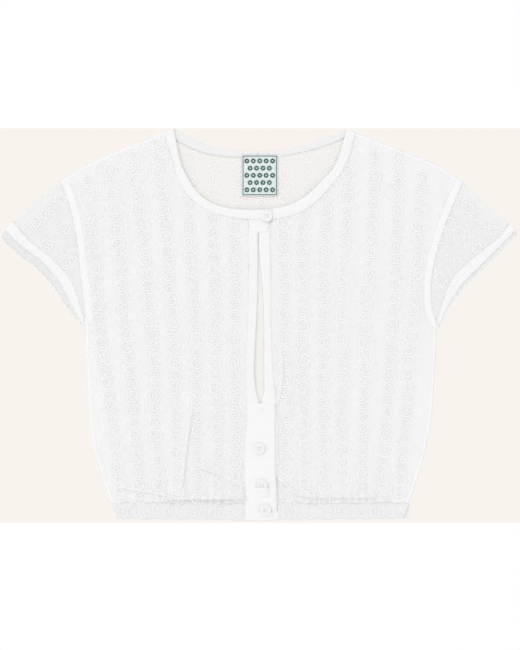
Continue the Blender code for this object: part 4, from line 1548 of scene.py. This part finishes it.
# %% Tucks over the lower buttons
def tuck(name, across, up, low, top_height, half):
    """A soft fold of the stand whose upper edge lies on a button. Beside the button it sinks
    into the stand, and so it does below."""
    x = np.linspace(across - half - 9.0, across + half + 9.0, 60)
    y = np.linspace(up, low, 24)
    plan = np.stack(np.meshgrid(x, y, indexing="ij"), axis=-1)
    down = np.linspace(0.0, 1.0, 24)[None, :]
    ground = stand_top(plan[..., 1]) - 0.45
    aside = np.maximum(np.abs(x - across) - half + 0.6, 0.0)[:, None]
    near = np.exp(-((aside / (1.6 + 3.2 * down)) ** 2))
    rise = np.maximum(top_height - ground, 0.0)
    crumple = 0.3 * np.sin(down * 12.0 + x[:, None] / 6.0) * near * np.sin(math.pi * down)
    top = ground + rise * near * (1.0 - down) ** 1.6 + 0.5 * near * np.sin(math.pi * down) + crumple
    return plan, wall(name, raised(plan, top), raised(plan, top - 0.4), COTTON)


bands["tuck_waist"] = tuck("tuck_waist", 1.7, -187.0, -203.5, 8.1, 6.2)
bands["tuck_hem"] = tuck("tuck_hem", 5.6, -215.6, -224.4, 7.3, 6.3)

# %% [markdown]
# ## Dressing the frame
# Every piece is cloth or thread of one body. A piece that stands for a solid hides it.

# %% Dress the frame
FLAT_SIZES = {
    "back": (0.470, 0.435),
    "front_right": (0.222, 0.430),
    "front_left": (0.228, 0.430),
    "sleeve_right": (0.180, 0.170),
    "sleeve_left": (0.190, 0.170),
}
SMALLEST_SHEET = 0.0101
CASING_BACK_LENGTH = 0.345
for name, (plan, made) in voile_pieces.items():
    layers = 2 if name.startswith("sleeve") else 1
    flat = FLAT_SIZES[name]
    area = min(plan_area(plan) * layers, flat[0] * flat[1])
    below = ["back"] if name.startswith("front") else []
    dress(made, "sheer_cotton", name, flat=flat, area=area, rests_on=below)
for name, obj in stitched.items():
    dress(obj, "sheer_cotton")
for name, (plan, made) in bands.items():
    layers = 2 if name.startswith("cuff") else 1
    area = plan_area(plan) * layers
    run = np.linalg.norm(np.diff(plan[plan.shape[0] // 2], axis=0), axis=1).sum() * MM
    length = CASING_BACK_LENGTH if name == "casing_back" else run * layers
    stands_for = [] if name.startswith(("tuck", "lip")) else [name]
    flat = (max(area / length, SMALLEST_SHEET), max(length, SMALLEST_SHEET))
    dress(made, "plain_cotton", *stands_for, flat=flat, area=area)
for side in ("right", "left"):
    dress(laces[side], "lace_edging", "lace_" + side)
    for plan, made in nets[side]:
        area = plan_area(plan)
        length = np.linalg.norm(np.diff(plan[0], axis=0), axis=1).sum() * MM
        dress(made, "lace_edging", flat=(max(area / length, SMALLEST_SHEET), length), area=area)
dress(label, "label_tape", "label", flat=tuple(round(size * MM, 4) for size in LABEL_SIZE))
dress(label_motif, "label_tape")

# %% [markdown]
# ## Buttons
# The buttons are cast polyester with four holes, 13.5 mm across. A turned profile gives the
# soft rim and the shallow dish, and the four holes are pressed into it. White thread crosses
# between the holes.

# %% Buttons
BUTTONS = {
    "neck": {"at": (7.2, 124.6), "base": 4.6, "tilt": 0.0},
    "chest": {"at": (-1.5, -142.7), "base": 4.4, "tilt": 1.0},
    "waist": {"at": (1.7, -184.6), "base": 5.45, "tilt": 5.0},
    "hem": {"at": (5.6, -213.4), "base": 4.9, "tilt": 0.0},
}
PROFILE = np.array([
    (0.0, 1.95), (1.2, 1.95), (2.0, 1.96), (2.8, 1.99), (3.6, 2.08), (4.4, 2.2), (5.2, 2.29), (5.9, 2.28),
    (6.4, 2.12), (6.7, 1.75), (6.75, 1.3), (6.6, 0.8), (6.2, 0.3), (5.4, 0.05), (3.0, 0.0), (0.0, 0.0),
])
HOLE_SPREAD = 1.5
HOLE_RADIUS = 0.75


def button(name, row):
    """One button: the profile turned in 72 steps with a single point at each pole, dimpled by
    four holes, then tilted about its own middle and set down."""
    steps = 72
    fine = spaced(PROFILE, 56)
    turn = np.arange(steps) * 2 * math.pi / steps
    rings = fine[1:-1]
    x = rings[:, :1] * np.cos(turn)
    y = rings[:, :1] * np.sin(turn)
    z = np.broadcast_to(rings[:, 1:], x.shape).copy()
    for sx, sy in ((1, 1), (1, -1), (-1, 1), (-1, -1)):
        away = np.hypot(x - sx * HOLE_SPREAD, y - sy * HOLE_SPREAD)
        z -= np.where(z > 1.0, 0.45 * np.clip((HOLE_RADIUS - away) / 0.25, 0.0, 1.0), 0.0)
    points = np.stack([x, y, z], axis=-1).reshape(-1, 3)
    points = np.vstack([points, [[0, 0, fine[0, 1]], [0, 0, fine[-1, 1]]]])
    index = np.arange(len(rings) * steps).reshape(len(rings), steps)
    after = np.roll(index, -1, axis=1)
    quads = np.stack([index[:-1], index[1:], after[1:], after[:-1]], axis=-1).reshape(-1, 4)
    top, low = len(points) - 2, len(points) - 1
    halves = np.concatenate([quads[:, [0, 1, 2]], quads[:, [0, 2, 3]]])
    caps = np.concatenate([
        np.stack([np.full(steps, top), index[0], after[0]], axis=-1),
        np.stack([np.full(steps, low), after[-1], index[-1]], axis=-1),
    ])
    made = solid("button_shell_" + name, seated(points, row), np.vstack([halves, caps]), PEARL)
    threads = []
    for sx in (-1, 1):
        x_at = sx * HOLE_SPREAD
        ends = np.array([(x_at, -HOLE_SPREAD, 1.85), (x_at, 0.0, 2.15), (x_at, HOLE_SPREAD, 1.85)])
        side = np.broadcast_to(np.array([1.0, 0.0, 0.0]), (1, 3, 3))
        part_points, part_faces = tubes(ends[None], side, 0.6, 0.3, closed=False)
        threads.append((seated(part_points, row), part_faces))
    points, faces = joined_mesh(threads)
    return made, solid("button_thread_" + name, points, faces, THREAD)


def seated(points, row):
    """Points tilted about the button's cross axis and moved to its place."""
    lean = math.radians(row["tilt"])
    y = points[:, 1] * math.cos(lean) - points[:, 2] * math.sin(lean)
    z = points[:, 1] * math.sin(lean) + points[:, 2] * math.cos(lean)
    return np.column_stack([points[:, 0] + row["at"][0], y + row["at"][1], z + row["base"]])


for name, row in BUTTONS.items():
    solid_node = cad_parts["button_" + name]
    corners = np.array([list(solid_node.matrix_world @ v.co) for v in solid_node.data.vertices]) / MM
    print(name, corners.min(axis=0).round(2), corners.max(axis=0).round(2))
    made, thread = button(name, row)
    dress(made, "button_shell", "button_" + name)
    dress(thread, "sheer_cotton")
    own = np.array([v.co[:] for v in made.data.vertices]) / MM
    print("    dressed", own.min(axis=0).round(2), own.max(axis=0).round(2))
